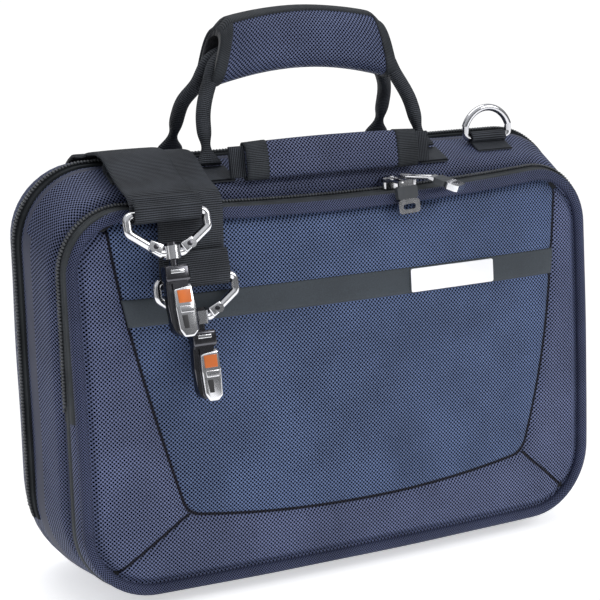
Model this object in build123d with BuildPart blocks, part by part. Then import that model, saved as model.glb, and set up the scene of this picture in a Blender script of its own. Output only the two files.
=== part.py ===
"""Soft-sided clarinet case: two zipped halves, front pocket, wrapped carry handles,
grab handle, D-rings and a shoulder strap with two swivel trigger hooks. Sizes in mm.
+X is to the right, -Y to the front, +Z up. The main zip lies in the plane y = 0."""
import os
from math import atan2, degrees
from build123d import *

# ---- case halves -------------------------------------------------------------
case_w = 348.0          # over both halves at the main zip
case_h = 238.0
top_r = 41.0            # outline corner radii
foot_r = 58.0
shell_wall = 5.0        # fabric, foam and lining together
parting = 0.15          # each half stands this far off the zip plane
rim_d = 9.0             # straight rim beside the zip
lid_d = 38.0
lid_side_in = 4.5       # how far the lid narrows towards its front, each side
lid_top_in = 12.0
rear_d = 50.0
rear_edge_r = 30.0      # soft edge round the back
# ---- main zip ----------------------------------------------------------------
tape_w = 6.5            # each tape, seen on the rim
tape_t = 1.4
coil_w = 1.6
coil_t = 2.6
zip_end_z = 44.0        # the zip stops here on both sides
# ---- front pocket --------------------------------------------------------------
pocket_w = 331.0
pocket_foot = 7.0       # bottom edge above the floor
pocket_h = 216.0
pocket_top_r = 37.0
pocket_foot_r = 41.0
pocket_sag = 8.0        # the top edge dips this much in the middle
pocket_wall = 2.4       # gusset
dome_r = 2000.0         # bulge of the front
dome_y = 62.0           # front of the bulge, in front of the zip plane
dome_z = 50.0           # height of its foremost point
panel_t = 3.0
pocket_zip_y = 43.0     # coil line of the pocket zip
pocket_tape_w = 3.2
pocket_coil_w = 0.8
fold_z = 108.0          # the pocket front folds down about this line
fold_gap = 0.15
welt = 5.0              # piping
welt_proud = 1.9
# ---- pocket front panels ---------------------------------------------------------
seam = [(143, 230), (137, 172), (126, 112), (118, 75), (110, 50)]
seam_mid_z = 41.0
mitre = (149.0, 21.0)
band_z = (157.0, 172.0)
band_t = 0.9
plate_x = (38.0, 95.0)
plate_t = 1.2
# ---- webbing ---------------------------------------------------------------------
strap_w = 38.0
strap_t = 1.8
strap_gap = 0.35
strap_upper_x = -113.0
strap_lower_x = -96.5
strap_upper_end = 215.0
strap_lower_end = 177.0
strap_drop_z = 84.0     # underside of the loop behind the case
adjuster_t = 2.2
adjuster_z = 150.0
adjuster_h = 28.0
# ---- handles ---------------------------------------------------------------------
leg_x = 69.0
leg_front_y = -23.0
leg_rear_y = 17.0
grip_len = 112.0
grip_lift = 63.0        # middle of the grip, above the top of the case
grip_h = 36.0
grip_y = 28.0
grip_wall = 4.5
rope_r = 4.0
roll_r = 3.2
leg_bends = [30.0, 20.0, 12.0, 12.0, 20.0, 30.0]     # bend radii along each loop
patch_w = 16.0          # flattened foot of each leg
patch_t = 2.2
foot_run = 11.0
rear_leg_angle = 20.0   # place of the rear legs on the shoulder, from straight up
grip_r = 9.0
grip_rise = 9.0         # the grip bows up in the middle
grip_web_y = 4.9        # the webbing inside the grip, off the zip plane
# ---- grab handle -------------------------------------------------------------------
grab_y = -38.0
grab_z = (227.8, 248.3)
grab_pad_t = 7.0
grab_len = 108.0
grab_web_w = 18.0
grab_tail = 9.5
grab_lean = 0.15        # the pad leans back by this slope
# ---- fittings ------------------------------------------------------------------------
ring_x = 117.0
ring_y = -19.0
ring_in = 26.0          # takes 25 mm webbing
ring_wire = 4.2
ring_drop = 17.5
sleeve_gap = 0.35
run_gap = 0.05          # shaft in a hole
ring_tab_w = 24.0
tab_run = 8.0
left_ring_tilt = 116.0  # this ring lies forward under the strap
slider_x = 40.0         # the two pocket sliders meet here
main_slider_z = 120.0   # the main sliders meet at this height, on the right side
main_slider_off = 6.5
slider_len = 11.0
slider_w = 8.4
slider_t = 3.6
slider_gap = 0.3
bridge_h = 3.4
zip_crest = 0.9
pivot_r = 0.8
bail_w = 8.0
bail_len = 17.0
main_bail_len = 9.0
core_run = 9.5
end_run = 8.0
pull_w = 13.0
pull_t = 3.2
# ---- snap hooks ----------------------------------------------------------------------
hook_w = 13.2
hook_t = 5.6
hook_len = 65.0         # from the loop's bar
collar_z = -21.0
collar_r = 4.8
collar_h = 7.0
post_r = 2.2
rivet_r = 2.4
cap_z = -28.0
cap_h = 9.5
cheek_y = 3.8
spine_w = 3.0
lever_x = -0.8
lever_y = 2.6
pin_x = 4.2
pin_z = -40.0
pin_r = 0.9
upper_lean = 16.0       # each hook leans out over what it lies on
lower_lean = 11.0

# ---- inside ---------------------------------------------------------------------------
tray_gap = 0.5
tray_y = 3.0            # face of the tray behind the zip plane
pad_t = 8.0
hinge_w = 2.6
hinge_t = 1.0
recesses = [            # x from, x to, z, radius, end radius, depth of the axis
    (-158.0, 118.0, 50.0, 17.0, 17.0, 16.0),
    (-158.0, 82.0, 98.0, 16.0, 16.0, 16.0),
    (-148.0, -30.0, 176.0, 40.0, 19.0, 0.5),
    (-10.0, 60.0, 190.0, 18.0, 18.0, 17.0),
    (-10.0, 88.0, 144.0, 17.0, 17.0, 16.0)]
box_x = (100.0, 160.0)
box_z = (84.0, 196.0)
box_depth = 30.0

lid_w = case_w - 2 * lid_side_in
lid_h = case_h - lid_top_in
pocket_x = pocket_w / 2
tray_w = case_w - 2 * (shell_wall + tray_gap)
tray_h = case_h - 2 * (shell_wall + tray_gap)
grip_z = case_h + grip_lift
os.makedirs("parts", exist_ok=True)
made = []


def keep(built, name):
    """Label a finished builder and write its STEP file."""
    built.part.label = name
    export_step(built.part, "parts/" + name + ".step")
    made.append(name)


def facing(depth):
    """Sketch plane at y = -depth, seen from the front."""
    return Plane.XZ.offset(depth)


def outline(width, height, r_upper, r_lower, grow=0.0):
    """Case outline standing on z = 0, grown outwards at the sides and top."""
    with BuildSketch() as shape:
        with Locations((0, (height + grow) / 2)):
            Rectangle(width + 2 * grow, height + grow)
        fillet(shape.vertices().sort_by(Axis.Y)[-2:], r_upper + grow)
        fillet(shape.vertices().sort_by(Axis.Y)[:2], r_lower + grow)
    return shape.sketch


def pocket_outline(grow=0.0):
    """Pocket outline: rounded, with a top edge that dips in the middle."""
    x = pocket_x + grow
    low = pocket_foot - grow
    high = pocket_foot + pocket_h + grow
    with BuildSketch() as shape:
        with BuildLine():
            Polyline((-x, high), (-x, low), (x, low), (x, high))
            ThreePointArc((x, high), (0, high - pocket_sag), (-x, high))
        make_face()
        fillet(shape.vertices().sort_by(Axis.Y)[-2:], pocket_top_r + grow)
        fillet(shape.vertices().sort_by(Axis.Y)[:2], pocket_foot_r + grow)
    return shape.sketch


def half_plane(low, high):
    """Wide slab of the sketch plane between two heights."""
    with BuildSketch() as slab:
        with Locations((0, (low + high) / 2)):
            Rectangle(2 * case_w, high - low)
    return slab.sketch


def skin(region, inner, outer, back=40.0):
    """Solid over a region, between two levels measured off the pocket's bulge."""
    with BuildPart() as sheet:
        with BuildSketch(facing(back)):
            add(region)
        extrude(amount=dome_y + outer - back + 4)
        with Locations((0, dome_r - dome_y, dome_z)):
            Sphere(dome_r + outer, mode=Mode.INTERSECT)
            Sphere(dome_r + inner, mode=Mode.SUBTRACT)
    return sheet.part


def bulge_y(x, z):
    """Depth of the pocket's front surface at a place."""
    return -(dome_y - (x * x + (z - dome_z) ** 2) / (2 * dome_r))


def ribbon(stations):
    """Flat webbing through stations (x, y, z, run_y, run_z, width, thickness)."""
    with BuildPart() as strip:
        for x, y, z, run_y, run_z, wide, thick in stations:
            with BuildSketch(Plane((x, y, z), x_dir=(1, 0, 0), z_dir=(0, run_y, run_z))):
                Rectangle(wide, thick)
        loft(ruled=True)
    return strip.part


# ---- lid -----------------------------------------------------------------------------
with BuildPart() as lid_shell:
    with BuildSketch(facing(parting)):
        add(outline(case_w, case_h, top_r, foot_r))
    extrude(amount=rim_d - parting)
    with BuildSketch(facing(rim_d)):
        add(outline(case_w, case_h, top_r, foot_r))
    with BuildSketch(facing(lid_d)):
        add(outline(lid_w, lid_h, top_r, foot_r))
    loft()
    with BuildSketch(facing(parting)):
        with Locations((0, shell_wall)):
            add(outline(case_w - 2 * shell_wall, lid_h - 2 * shell_wall, top_r, foot_r))
    with BuildSketch(facing(lid_d - shell_wall)):
        with Locations((0, shell_wall)):
            add(outline(lid_w - 2 * shell_wall, lid_h - 2 * shell_wall, top_r, foot_r))
    loft(mode=Mode.SUBTRACT)
keep(lid_shell, "lid_shell")

# ---- rear half -------------------------------------------------------------------------
with BuildPart() as rear_cavity:
    with BuildSketch(facing(-(rear_d - shell_wall))):
        with Locations((0, shell_wall)):
            add(outline(case_w - 2 * shell_wall, case_h - 2 * shell_wall, top_r, foot_r))
    extrude(amount=rear_d)
    fillet(rear_cavity.faces().sort_by(Axis.Y)[-1].edges(), rear_edge_r - shell_wall)

with BuildPart() as rear_shell:
    with BuildSketch(facing(-rear_d)):
        add(outline(case_w, case_h, top_r, foot_r))
    extrude(amount=rear_d - parting)
    fillet(rear_shell.faces().sort_by(Axis.Y)[-1].edges(), rear_edge_r)
    add(rear_cavity.part, mode=Mode.SUBTRACT)
keep(rear_shell, "rear_shell")


# ---- fitted tray and lid pad ---------------------------------------------------------------
def trough(x0, x1, z, r, r_end, depth):
    """Round-bottomed recess along X, open to the front, for a body of radius r to r_end."""
    centre = tray_y + depth
    with BuildPart() as hollow:
        with BuildSketch(Plane.YZ.offset(x0)):
            with Locations((centre, z)):
                Circle(r)
        with BuildSketch(Plane.YZ.offset(x1)):
            with Locations((centre, z)):
                Circle(r_end)
        loft()
        with BuildSketch(Plane.YZ.offset(x0)):
            with Locations((centre - r, z)):
                Rectangle(2 * r, 2 * r)
        with BuildSketch(Plane.YZ.offset(x1)):
            with Locations((centre - r_end, z)):
                Rectangle(2 * r_end, 2 * r_end)
        loft()
    return hollow.part


with BuildPart() as instrument_tray:
    with BuildSketch(facing(-(rear_d - shell_wall - tray_gap))):
        with Locations((0, shell_wall + tray_gap)):
            add(outline(tray_w, tray_h, top_r, foot_r))
    extrude(amount=rear_d - shell_wall - tray_gap - tray_y)
    back_edges = instrument_tray.faces().sort_by(Axis.Y)[-1].edges()
    fillet(back_edges, rear_edge_r - shell_wall)
    for x0, x1, z, r, r_end, depth in recesses:
        add(trough(x0, x1, z, r, r_end, depth), mode=Mode.SUBTRACT)
    with Locations(((box_x[0] + box_x[1]) / 2, tray_y, (box_z[0] + box_z[1]) / 2)):
        Box(box_x[1] - box_x[0], 2 * box_depth, box_z[1] - box_z[0], mode=Mode.SUBTRACT)
keep(instrument_tray, "instrument_tray")

with BuildPart() as lid_pad:
    with BuildSketch(facing(lid_d - shell_wall - pad_t)):
        with Locations((0, shell_wall + 4)):
            add(outline(lid_w - 2 * shell_wall - 8, lid_h - 2 * shell_wall - 8, top_r - 4, foot_r - 4))
    extrude(amount=pad_t)
    fillet(lid_pad.faces().sort_by(Axis.Y)[-1].edges(), 2)
keep(lid_pad, "lid_pad")


# ---- main zip -------------------------------------------------------------------------------
def rim_band(near, far, out):
    """Band round the rim of a half, from near to far off the zip plane, out proud."""
    with BuildPart() as band:
        with BuildSketch(facing(near)):
            add(outline(case_w, case_h, top_r, foot_r, out))
            add(outline(case_w, case_h, top_r, foot_r), mode=Mode.SUBTRACT)
            add(half_plane(-case_h, zip_end_z), mode=Mode.SUBTRACT)
        extrude(amount=far - near)
    return band.part


def zip_half():
    """Tape and coil of one side of the main zip, on the front half's rim."""
    with BuildPart() as side:
        add(rim_band(parting + coil_w, tape_w, tape_t))
        add(rim_band(parting, parting + coil_w, coil_t))
    return side.part


with BuildPart() as lid_zip:
    add(zip_half())
keep(lid_zip, "lid_zip")

with BuildPart() as rear_zip:
    add(mirror(zip_half(), Plane.XZ))
keep(rear_zip, "rear_zip")

with BuildPart() as hinge_strip:
    with Locations((0, parting + hinge_w / 2, shell_wall + hinge_t / 2)):
        Box(case_w - 2 * foot_r - 2 * shell_wall - 4, hinge_w, hinge_t)
keep(hinge_strip, "hinge_strip")


# ---- front pocket -----------------------------------------------------------------------------
def pocket_ring(near, far, low, high, out=0.0, wall=pocket_wall):
    """Wall round the pocket outline between two depths and two heights."""
    with BuildPart() as ring:
        with BuildSketch(facing(near)):
            add(pocket_outline(out))
            add(pocket_outline(out - wall), mode=Mode.SUBTRACT)
            add(half_plane(low, high), mode=Mode.INTERSECT)
        extrude(amount=far - near)
        with Locations((0, dome_r - dome_y, dome_z)):
            Sphere(dome_r - panel_t, mode=Mode.INTERSECT)
    return ring.part


below = (-case_h, fold_z - fold_gap)
above = (fold_z + fold_gap, 2 * case_h)
zip_back = pocket_zip_y - parting
zip_front = pocket_zip_y + parting

with BuildPart() as pocket_gusset_lower:
    add(pocket_ring(lid_d, dome_y, *below))
keep(pocket_gusset_lower, "pocket_gusset_lower")

with BuildPart() as pocket_zip_back:
    add(pocket_ring(lid_d, zip_back - pocket_coil_w, *above))
    add(pocket_ring(zip_back - pocket_coil_w, zip_back, *above, out=zip_crest, wall=pocket_wall + zip_crest))
keep(pocket_zip_back, "pocket_zip_back")

with BuildPart() as pocket_zip_front:
    add(pocket_ring(zip_front, zip_front + pocket_coil_w, *above, out=zip_crest, wall=pocket_wall + zip_crest))
    add(pocket_ring(zip_front + pocket_coil_w, zip_front + pocket_tape_w, *above))
keep(pocket_zip_front, "pocket_zip_front")

with BuildPart() as pocket_gusset_upper:
    add(pocket_ring(zip_front + pocket_tape_w, dome_y, *above))
keep(pocket_gusset_upper, "pocket_gusset_upper")


def seam_region(side):
    """Region outside one side seam of the pocket front, down to the mitre."""
    points = [(side * x, z) for x, z in seam]
    with BuildSketch() as region:
        with BuildLine():
            Polyline(*points, (side * mitre[0] * 1.3, mitre[1] - 25))
            Line((side * mitre[0] * 1.3, mitre[1] - 25), (side * case_w, 0))
            Line((side * case_w, 0), (side * case_w, seam[0][1]))
            Line((side * case_w, seam[0][1]), points[0])
        make_face()
    return region.sketch


def foot_region():
    """Region of the bottom panel: below the bowed seam, between the mitres."""
    low_x, low_z = seam[-1]
    far_x = mitre[0] * 1.3
    far_z = mitre[1] - 25
    with BuildSketch() as region:
        with BuildLine():
            ThreePointArc((-low_x, low_z), (0, seam_mid_z), (low_x, low_z))
            Polyline((low_x, low_z), (far_x, far_z), (far_x, -foot_r), (-far_x, -foot_r), (-far_x, far_z), (-low_x, low_z))
        make_face()
    return region.sketch


def panel(regions, cuts, low, high):
    """One panel of the pocket front: outline cut to regions, less cuts, between heights."""
    with BuildSketch() as shape:
        add(pocket_outline(-welt + welt_proud))
        add(half_plane(low, high), mode=Mode.INTERSECT)
        for region in regions:
            add(region, mode=Mode.INTERSECT)
        for region in cuts:
            add(region, mode=Mode.SUBTRACT)
    return skin(shape.sketch, -panel_t, 0)


sides = {"left": seam_region(-1), "right": seam_region(1)}
for level, (low, high) in {"lower": below, "upper": above}.items():
    with BuildPart() as centre:
        add(panel([], [sides["left"], sides["right"], foot_region()], low, high))
    keep(centre, "pocket_panel_centre_" + level)
    for side, region in sides.items():
        with BuildPart() as flank:
            add(panel([region], [foot_region()], low, high))
        keep(flank, "pocket_panel_" + side + "_" + level)
    with BuildSketch() as cord_line:
        add(pocket_outline(welt_proud))
        add(pocket_outline(welt_proud - welt), mode=Mode.SUBTRACT)
        add(half_plane(low, high), mode=Mode.INTERSECT)
    with BuildPart() as piping:
        add(skin(cord_line.sketch, -panel_t, welt - panel_t))
    keep(piping, "pocket_piping_" + level)

with BuildPart() as pocket_panel_foot:
    add(panel([foot_region()], [], *below))
keep(pocket_panel_foot, "pocket_panel_foot")

with BuildSketch() as band_shape:
    add(half_plane(*band_z))
    for region in sides.values():
        add(region, mode=Mode.SUBTRACT)
with BuildPart() as pocket_band:
    add(skin(band_shape.sketch, 0, band_t))
keep(pocket_band, "pocket_band")

with BuildSketch() as plate_shape:
    with Locations((sum(plate_x) / 2, sum(band_z) / 2)):
        RectangleRounded(plate_x[1] - plate_x[0], band_z[1] - band_z[0] - 1.6, 1.2)
with BuildPart() as name_plate:
    add(skin(plate_shape.sketch, band_t, band_t + plate_t))
keep(name_plate, "name_plate")

# ---- tops of the halves, where webbing lies ----------------------------------------------------
def lid_top(y):
    """Height of the lid's sloping top."""
    return lid_h + lid_top_in * (lid_d + y) / (lid_d - rim_d)


def shoulder(angle, lift):
    """Point (y, z) above the rear half's rounded edge; angle from straight up, in degrees."""
    reach = Vector(0, 0, rear_edge_r + lift).rotate(Axis.X, -angle)
    return rear_d - rear_edge_r + reach.Y, case_h - rear_edge_r + reach.Z


def lean(a, b):
    """Components of the run from point a to point b."""
    return b[0] - a[0], b[1] - a[1]


def run_through(points, x_from, x_to, width, thick):
    """Webbing through (y, z) points, its sections square to the run, shifting evenly in x."""
    stations = []
    last = len(points) - 1
    for i, (y, z) in enumerate(points):
        run_y, run_z = lean(points[max(i - 1, 0)], points[min(i + 1, last)])
        x = x_from + (x_to - x_from) * i / last
        stations.append((x, y, z, run_y, run_z, width, thick))
    return ribbon(stations)


# ---- shoulder strap: lies over the top, its loop hangs behind, both ends in front ----------------
first = strap_gap + strap_t / 2
second = first + strap_t + strap_gap
tab_t = 1.2
sleeve_r = ring_wire / 2 + sleeve_gap + tab_t
top_slope = lid_top_in / (lid_d - rim_d)
steep = (1 + top_slope ** 2) ** 0.5
ring_z = lid_top(ring_y) + (sleeve_r + 0.15) * steep
hump = ring_z + sleeve_r * steep - lid_top(ring_y)
pocket_top = pocket_foot + pocket_h
bar_r = 2.5
fold_r = bar_r + sleeve_gap + strap_t
edge_front = bulge_y(strap_lower_x + strap_w / 2, pocket_top - 6) - welt_proud - 1.2
upper_bar_y = edge_front - first - strap_t / 2 - strap_gap - fold_r - 0.2
upper_bar = (strap_upper_x, upper_bar_y, strap_upper_end + 3)
lower_bar = (strap_lower_x, bulge_y(strap_lower_x, strap_lower_end) - fold_r - 0.6, strap_lower_end + 4)


def over_lid(level):
    """Strap run on the lid, from the pocket zip to the main zip."""
    return [(-pocket_zip_y + 0.35, lid_h + 3.0 + level), (-lid_d + 1.5, lid_h + 6.4 + level),
            (ring_y, lid_top(ring_y) + hump + level), (-rim_d, case_h + 4.2 + level),
            (-parting, case_h + coil_t + 0.6 + level)]


def over_pocket(level, bar):
    """Strap run on the pocket front, from the hook's bar to the pocket zip."""
    return [(bar[1] + fold_r - strap_t / 2, bar[2]),
            (edge_front - level, pocket_top - 1.7 + 0.42 * (level - first)),
            (edge_front + 3.8 - level * 0.9, pocket_top + 0.7 + level),
            (-pocket_zip_y - 0.35, lid_h + 2.6 + level)]


rear_in = [(parting, case_h + coil_t + 0.6 + first), (rim_d, case_h + 1.0 + first)]
arc = (4, 15, 27, 39, 51, 63, 75, 87)
rear_in += [shoulder(angle, first) for angle in arc]
rear_in += [(rear_d + first, case_h / 2)]
turn_y = rear_d + first + 8
turn = [Vector(0, -8, 0).rotate(Axis.X, angle) for angle in (0, 36, 72, 108, 144, 180)]
rear_turn = [(turn_y + step.Y, strap_drop_z + 8 + step.Z) for step in turn]
web_y = rear_d + second + 4.5
rear_out = [(web_y, adjuster_z - 20), (web_y, adjuster_z + 20)]
rear_out += [shoulder(angle, second) for angle in reversed(arc)]
rear_out += [(rim_d, case_h + 1.0 + second), (parting, case_h + coil_t + 0.6 + second)]
rear_run = rear_in + rear_turn + rear_out
web_step = (rear_run.index(rear_out[0]) + 0.5) / (len(rear_run) - 1)
web_x = strap_lower_x + (strap_upper_x - strap_lower_x) * web_step
with BuildPart() as strap_rear:
    add(run_through(rear_run, strap_lower_x, strap_upper_x, strap_w, strap_t))
keep(strap_rear, "strap_rear")

for name, level, x in (("lower", first, strap_lower_x), ("upper", second, strap_upper_x)):
    with BuildPart() as strap_lid:
        add(run_through(over_lid(level), x, x, strap_w, strap_t))
    keep(strap_lid, "strap_lid_" + name)
for name, level, bar in (("lower", first, lower_bar), ("upper", second, upper_bar)):
    with BuildPart() as strap_front:
        add(run_through(over_pocket(level, bar), bar[0], bar[0], strap_w, strap_t))
        with Locations(Location(bar, (0, 90, 0))):
            Cylinder(fold_r, strap_w)
            Cylinder(bar_r + sleeve_gap, strap_w + 2, mode=Mode.SUBTRACT)
    keep(strap_front, "strap_front_" + name)

cheek_x = strap_w / 2 + 0.5 + adjuster_t / 2
bar_off = strap_t / 2 + strap_gap + adjuster_t / 2
with BuildPart() as strap_adjuster:
    with Locations((web_x, web_y, adjuster_z)):
        with Locations((-cheek_x, 0, 0), (cheek_x, 0, 0)):
            Box(adjuster_t, 2 * bar_off + adjuster_t, adjuster_h)
        with Locations((0, bar_off, (adjuster_h - 4) / 2), (0, bar_off, -(adjuster_h - 4) / 2)):
            Box(2 * cheek_x, adjuster_t, 4)
        with Locations((0, -bar_off, 0)):
            Box(2 * cheek_x, adjuster_t, 5)
keep(strap_adjuster, "strap_adjuster")


# ---- carry handles ----------------------------------------------------------------------------
front_axis = (leg_front_y, lid_top(leg_front_y) + roll_r + 0.6)
rear_axis = shoulder(rear_leg_angle, roll_r + 0.6)
half = patch_t / 2 + 0.1
near_y = leg_front_y - roll_r - 0.4
front_foot = [(near_y, lid_top(near_y) + half), (near_y - foot_run, lid_top(near_y - foot_run) + half)]
rear_foot = [shoulder(rear_leg_angle + 8 + step, half + 0.15) for step in (0, 7, 14, 21, 28)]


def grip_sleeve(side):
    """Half of the wrapped sleeve, on one side of the zip plane."""
    ends = grip_len / 2
    with BuildPart() as sleeve:
        with BuildLine() as bow:
            ThreePointArc((-ends, 0, grip_z - grip_rise), (0, 0, grip_z), (ends, 0, grip_z - grip_rise))
        path = bow.line
        with BuildSketch(Plane(path @ 0, x_dir=(0, 1, 0), z_dir=path % 0)):
            RectangleRounded(grip_y, grip_h, grip_r)
            RectangleRounded(grip_y - 2 * grip_wall, grip_h - 2 * grip_wall, grip_r - grip_wall, mode=Mode.SUBTRACT)
            with Locations((-side * (case_w / 2 - parting), 0)):
                Rectangle(case_w, case_w, mode=Mode.SUBTRACT)
        sweep(path=path)
    return sleeve.part


def handle_loop(axis, lean_y):
    """Rope-like webbing: rolled ends, two legs and the bar inside the grip."""
    y0, z0 = axis
    bend = grip_len / 2 - 4
    leg = [(leg_x, y0, z0), (leg_x - 1.5, y0 + lean_y * 0.55, z0 + 27),
           (bend + 7, y0 + lean_y, grip_z - grip_rise - 12), (bend - 12, y0 + lean_y, grip_z - grip_web_y)]
    with BuildPart() as loop:
        with BuildLine() as path:
            FilletPolyline(*[(-x, y, z) for x, y, z in leg], *reversed(leg), radius=leg_bends)
        start = path.wires()[0]
        with BuildSketch(Plane(start @ 0, z_dir=start % 0)):
            Circle(rope_r)
        sweep(path=start)
        with Locations(Location((-leg_x, y0, z0), (0, 90, 0)), Location((leg_x, y0, z0), (0, 90, 0))):
            Cylinder(roll_r, patch_w)
    return loop.part


halves = (("front", front_axis, -grip_web_y, -1, front_foot), ("rear", rear_axis, grip_web_y, 1, rear_foot))
for name, axis, web_off, side, foot in halves:
    with BuildPart() as loop:
        add(handle_loop(axis, web_off - axis[0]))
    keep(loop, "handle_loop_" + name)
    with BuildPart() as wrap:
        add(grip_sleeve(side))
    keep(wrap, "grip_wrap_" + name)
    for hand, x in (("left", -leg_x), ("right", leg_x)):
        with BuildPart() as patch:
            add(run_through(foot, x, x, patch_w, patch_t))
        keep(patch, "handle_foot_" + name + "_" + hand)

# ---- grab handle --------------------------------------------------------------------------------
grab_h = grab_z[1] - grab_z[0]
grab_plane = Plane((0, grab_y, sum(grab_z) / 2), x_dir=(1, 0, 0), z_dir=(0, -1, grab_lean))
with BuildPart() as grab_pad:
    with BuildSketch(grab_plane.offset(-grab_pad_t / 2)):
        RectangleRounded(grab_len, grab_h, 2.5)
    extrude(amount=grab_pad_t)
    fillet(grab_pad.edges().filter_by(Axis.X), 2)
    with BuildSketch(grab_plane.offset(-patch_t / 2)):
        Rectangle(grab_len, grab_web_w)
    extrude(amount=patch_t, mode=Mode.SUBTRACT)
keep(grab_pad, "grab_pad")
with BuildPart() as grab_webbing:
    with BuildSketch(grab_plane.offset(-patch_t / 2)):
        Rectangle(grab_len + 2 * grab_tail, grab_web_w)
    extrude(amount=patch_t)
keep(grab_webbing, "grab_webbing")


# ---- D-rings ------------------------------------------------------------------------------------
def d_ring(x, y, z, tilt):
    """Wire D lying in its own plane: bar at the pivot, bow ring_drop away."""
    r = ring_wire / 2
    a = ring_in / 2 + r
    side_h = ring_drop * 0.4
    plane = Plane((x, y, z), x_dir=(1, 0, 0), z_dir=(0, -1, 0)).rotated((tilt, 0, 0))
    with BuildPart() as ring:
        with BuildLine(plane) as bar:
            FilletPolyline((-a, side_h), (-a, 0), (a, 0), (a, side_h), radius=3)
        with BuildSketch(Plane(bar.line @ 0, z_dir=bar.line % 0)):
            Circle(r)
        sweep(path=bar.line)
        with BuildLine(plane) as bow:
            ThreePointArc((a, side_h), (0, ring_drop), (-a, side_h))
        with BuildSketch(Plane(bow.line @ 0, z_dir=bow.line % 0)):
            Circle(r)
        sweep(path=bow.line)
        with Locations(plane.location * Pos(a, side_h, 0), plane.location * Pos(-a, side_h, 0)):
            Sphere(r)
    return ring.part


for hand, x, tilt in (("right", ring_x, 0), ("left", -ring_x, left_ring_tilt)):
    with BuildPart() as ring:
        add(d_ring(x, ring_y, ring_z, tilt))
    keep(ring, "d_ring_" + hand)
    with BuildPart() as tab:
        foot_near = ring_y
        foot_far = foot_near - tab_run
        add(run_through([(foot_near, lid_top(foot_near) + (tab_t / 2 + 0.1) * steep),
                         (foot_far, lid_top(foot_far) + (tab_t / 2 + 0.1) * steep)], x, x, ring_tab_w, tab_t))
        with Locations(Location((x, ring_y, ring_z), (0, 90, 0))):
            Cylinder(sleeve_r, ring_tab_w)
            Cylinder(sleeve_r - tab_t, ring_tab_w + 2, mode=Mode.SUBTRACT)
    keep(tab, "d_ring_tab_" + hand)


# ---- zip sliders and pulls -------------------------------------------------------------------------
def slider_body(turn):
    """Slider: x along the teeth, z outwards, origin on the coil's crest; bridge turned about z."""
    with BuildPart() as body:
        with Locations((0, 0, slider_gap + slider_t / 2)):
            Box(slider_len, slider_w, slider_t)
        fillet(body.edges().filter_by(Axis.Z), 2)
        with Locations(Location((0, 0, slider_gap + slider_t + bridge_h / 2), (0, 0, turn))):
            Box(slider_w - 2, 2.4, bridge_h)
        with Locations(Location((0, 0, pivot_z), (0, 0, turn)) * Location((0, 0, 0), (90, 0, 0))):
            Cylinder(pivot_r + run_gap, 6, mode=Mode.SUBTRACT)
    return body.part


def pull_link(length):
    """Wire link in its own frame: pivot along y at the origin, the link running along +x."""
    w = bail_w / 2
    with BuildPart() as bail:
        with BuildLine() as wire:
            FilletPolyline((0, w, 0), (length, w, 0), (length, -w, 0), (0, -w, 0), radius=1.5, close=True)
        loop = wire.wires()[0]
        with BuildSketch(Plane(loop @ 0, z_dir=loop % 0)):
            Circle(pivot_r)
        sweep(path=loop)
    return bail.part


def pull_plate():
    """Metal tab, frame as the link's far bar: a core for the sleeve, then a head with a window."""
    with BuildPart() as plate:
        with Locations((core_run + end_run / 2, 0, 0)):
            Box(end_run, pull_w + 0.8, pull_t + 0.4)
        fillet(plate.edges().filter_by(Axis.Z), 2.2)
        with Locations((core_run / 2 - 0.6, 0, 0)):
            Box(core_run + 1.2, bail_w + 1.4, 2.2 * pivot_r)
        with BuildSketch():
            with Locations((core_run + end_run * 0.52, 0)):
                SlotOverall(pull_w - 5, 3.0, rotation=90)
        extrude(amount=pull_t, both=True, mode=Mode.SUBTRACT)
    return plate.part


def pull_sleeve():
    """Rubber sleeve round the tab's core."""
    with BuildPart() as sleeve:
        with Locations((core_run / 2 + 0.9, 0, 0)):
            Box(core_run - 2.2, pull_w, pull_t)
        fillet(sleeve.edges().filter_by(Axis.Z), 1.5)
        with Locations((core_run / 2, 0, 0)):
            Box(2 * core_run, bail_w + 1.5, 2.3 * pivot_r, mode=Mode.SUBTRACT)
    return sleeve.part


def on_dip(x):
    """Height of the pocket zip's crest along the dipping top edge."""
    return pocket_top + zip_crest - pocket_sag * (1 - (x / pocket_x) ** 2)


def frame_at(origin, along, outward):
    """Location whose x runs along one direction and z as near outward as it can."""
    z_dir = Vector(*outward) - Vector(*along) * (Vector(*outward).dot(Vector(*along)) / Vector(*along).length ** 2)
    return Location(Plane(origin, x_dir=along, z_dir=z_dir))


half_len = slider_len / 2 + 0.3
pivot_z = slider_gap + slider_t + bridge_h / 2
left_x = slider_x - half_len
right_x = slider_x + half_len
main_x = case_w / 2 + coil_t
up, down, right, front = (0, 0, 1), (-0.05, 0, -1), (1, 0, 0), (0, -1, 0)
over = (0.27, 0, -1)    # the upper main pull hangs over the lower slider
zips = {                # slider place, its run, its outward side, then the link, the tab, the tab's face and a length
    "main_left": ((main_x, 0, main_slider_z + main_slider_off), up, right, over, over, right, main_bail_len),
    "main_right": ((main_x, 0, main_slider_z - main_slider_off), up, right, down, down, right, main_bail_len),
    "pocket_left": ((left_x, -pocket_zip_y, on_dip(left_x)), right, up,
                    (0.06, -1, -0.03), (0.06, -0.1, -0.99), front, bail_len),
    "pocket_right": ((right_x, -pocket_zip_y, on_dip(right_x)), right, up,
                     (0.6, -0.8, 0), (0.57, -0.76, -0.32), up, bail_len)}
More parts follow.
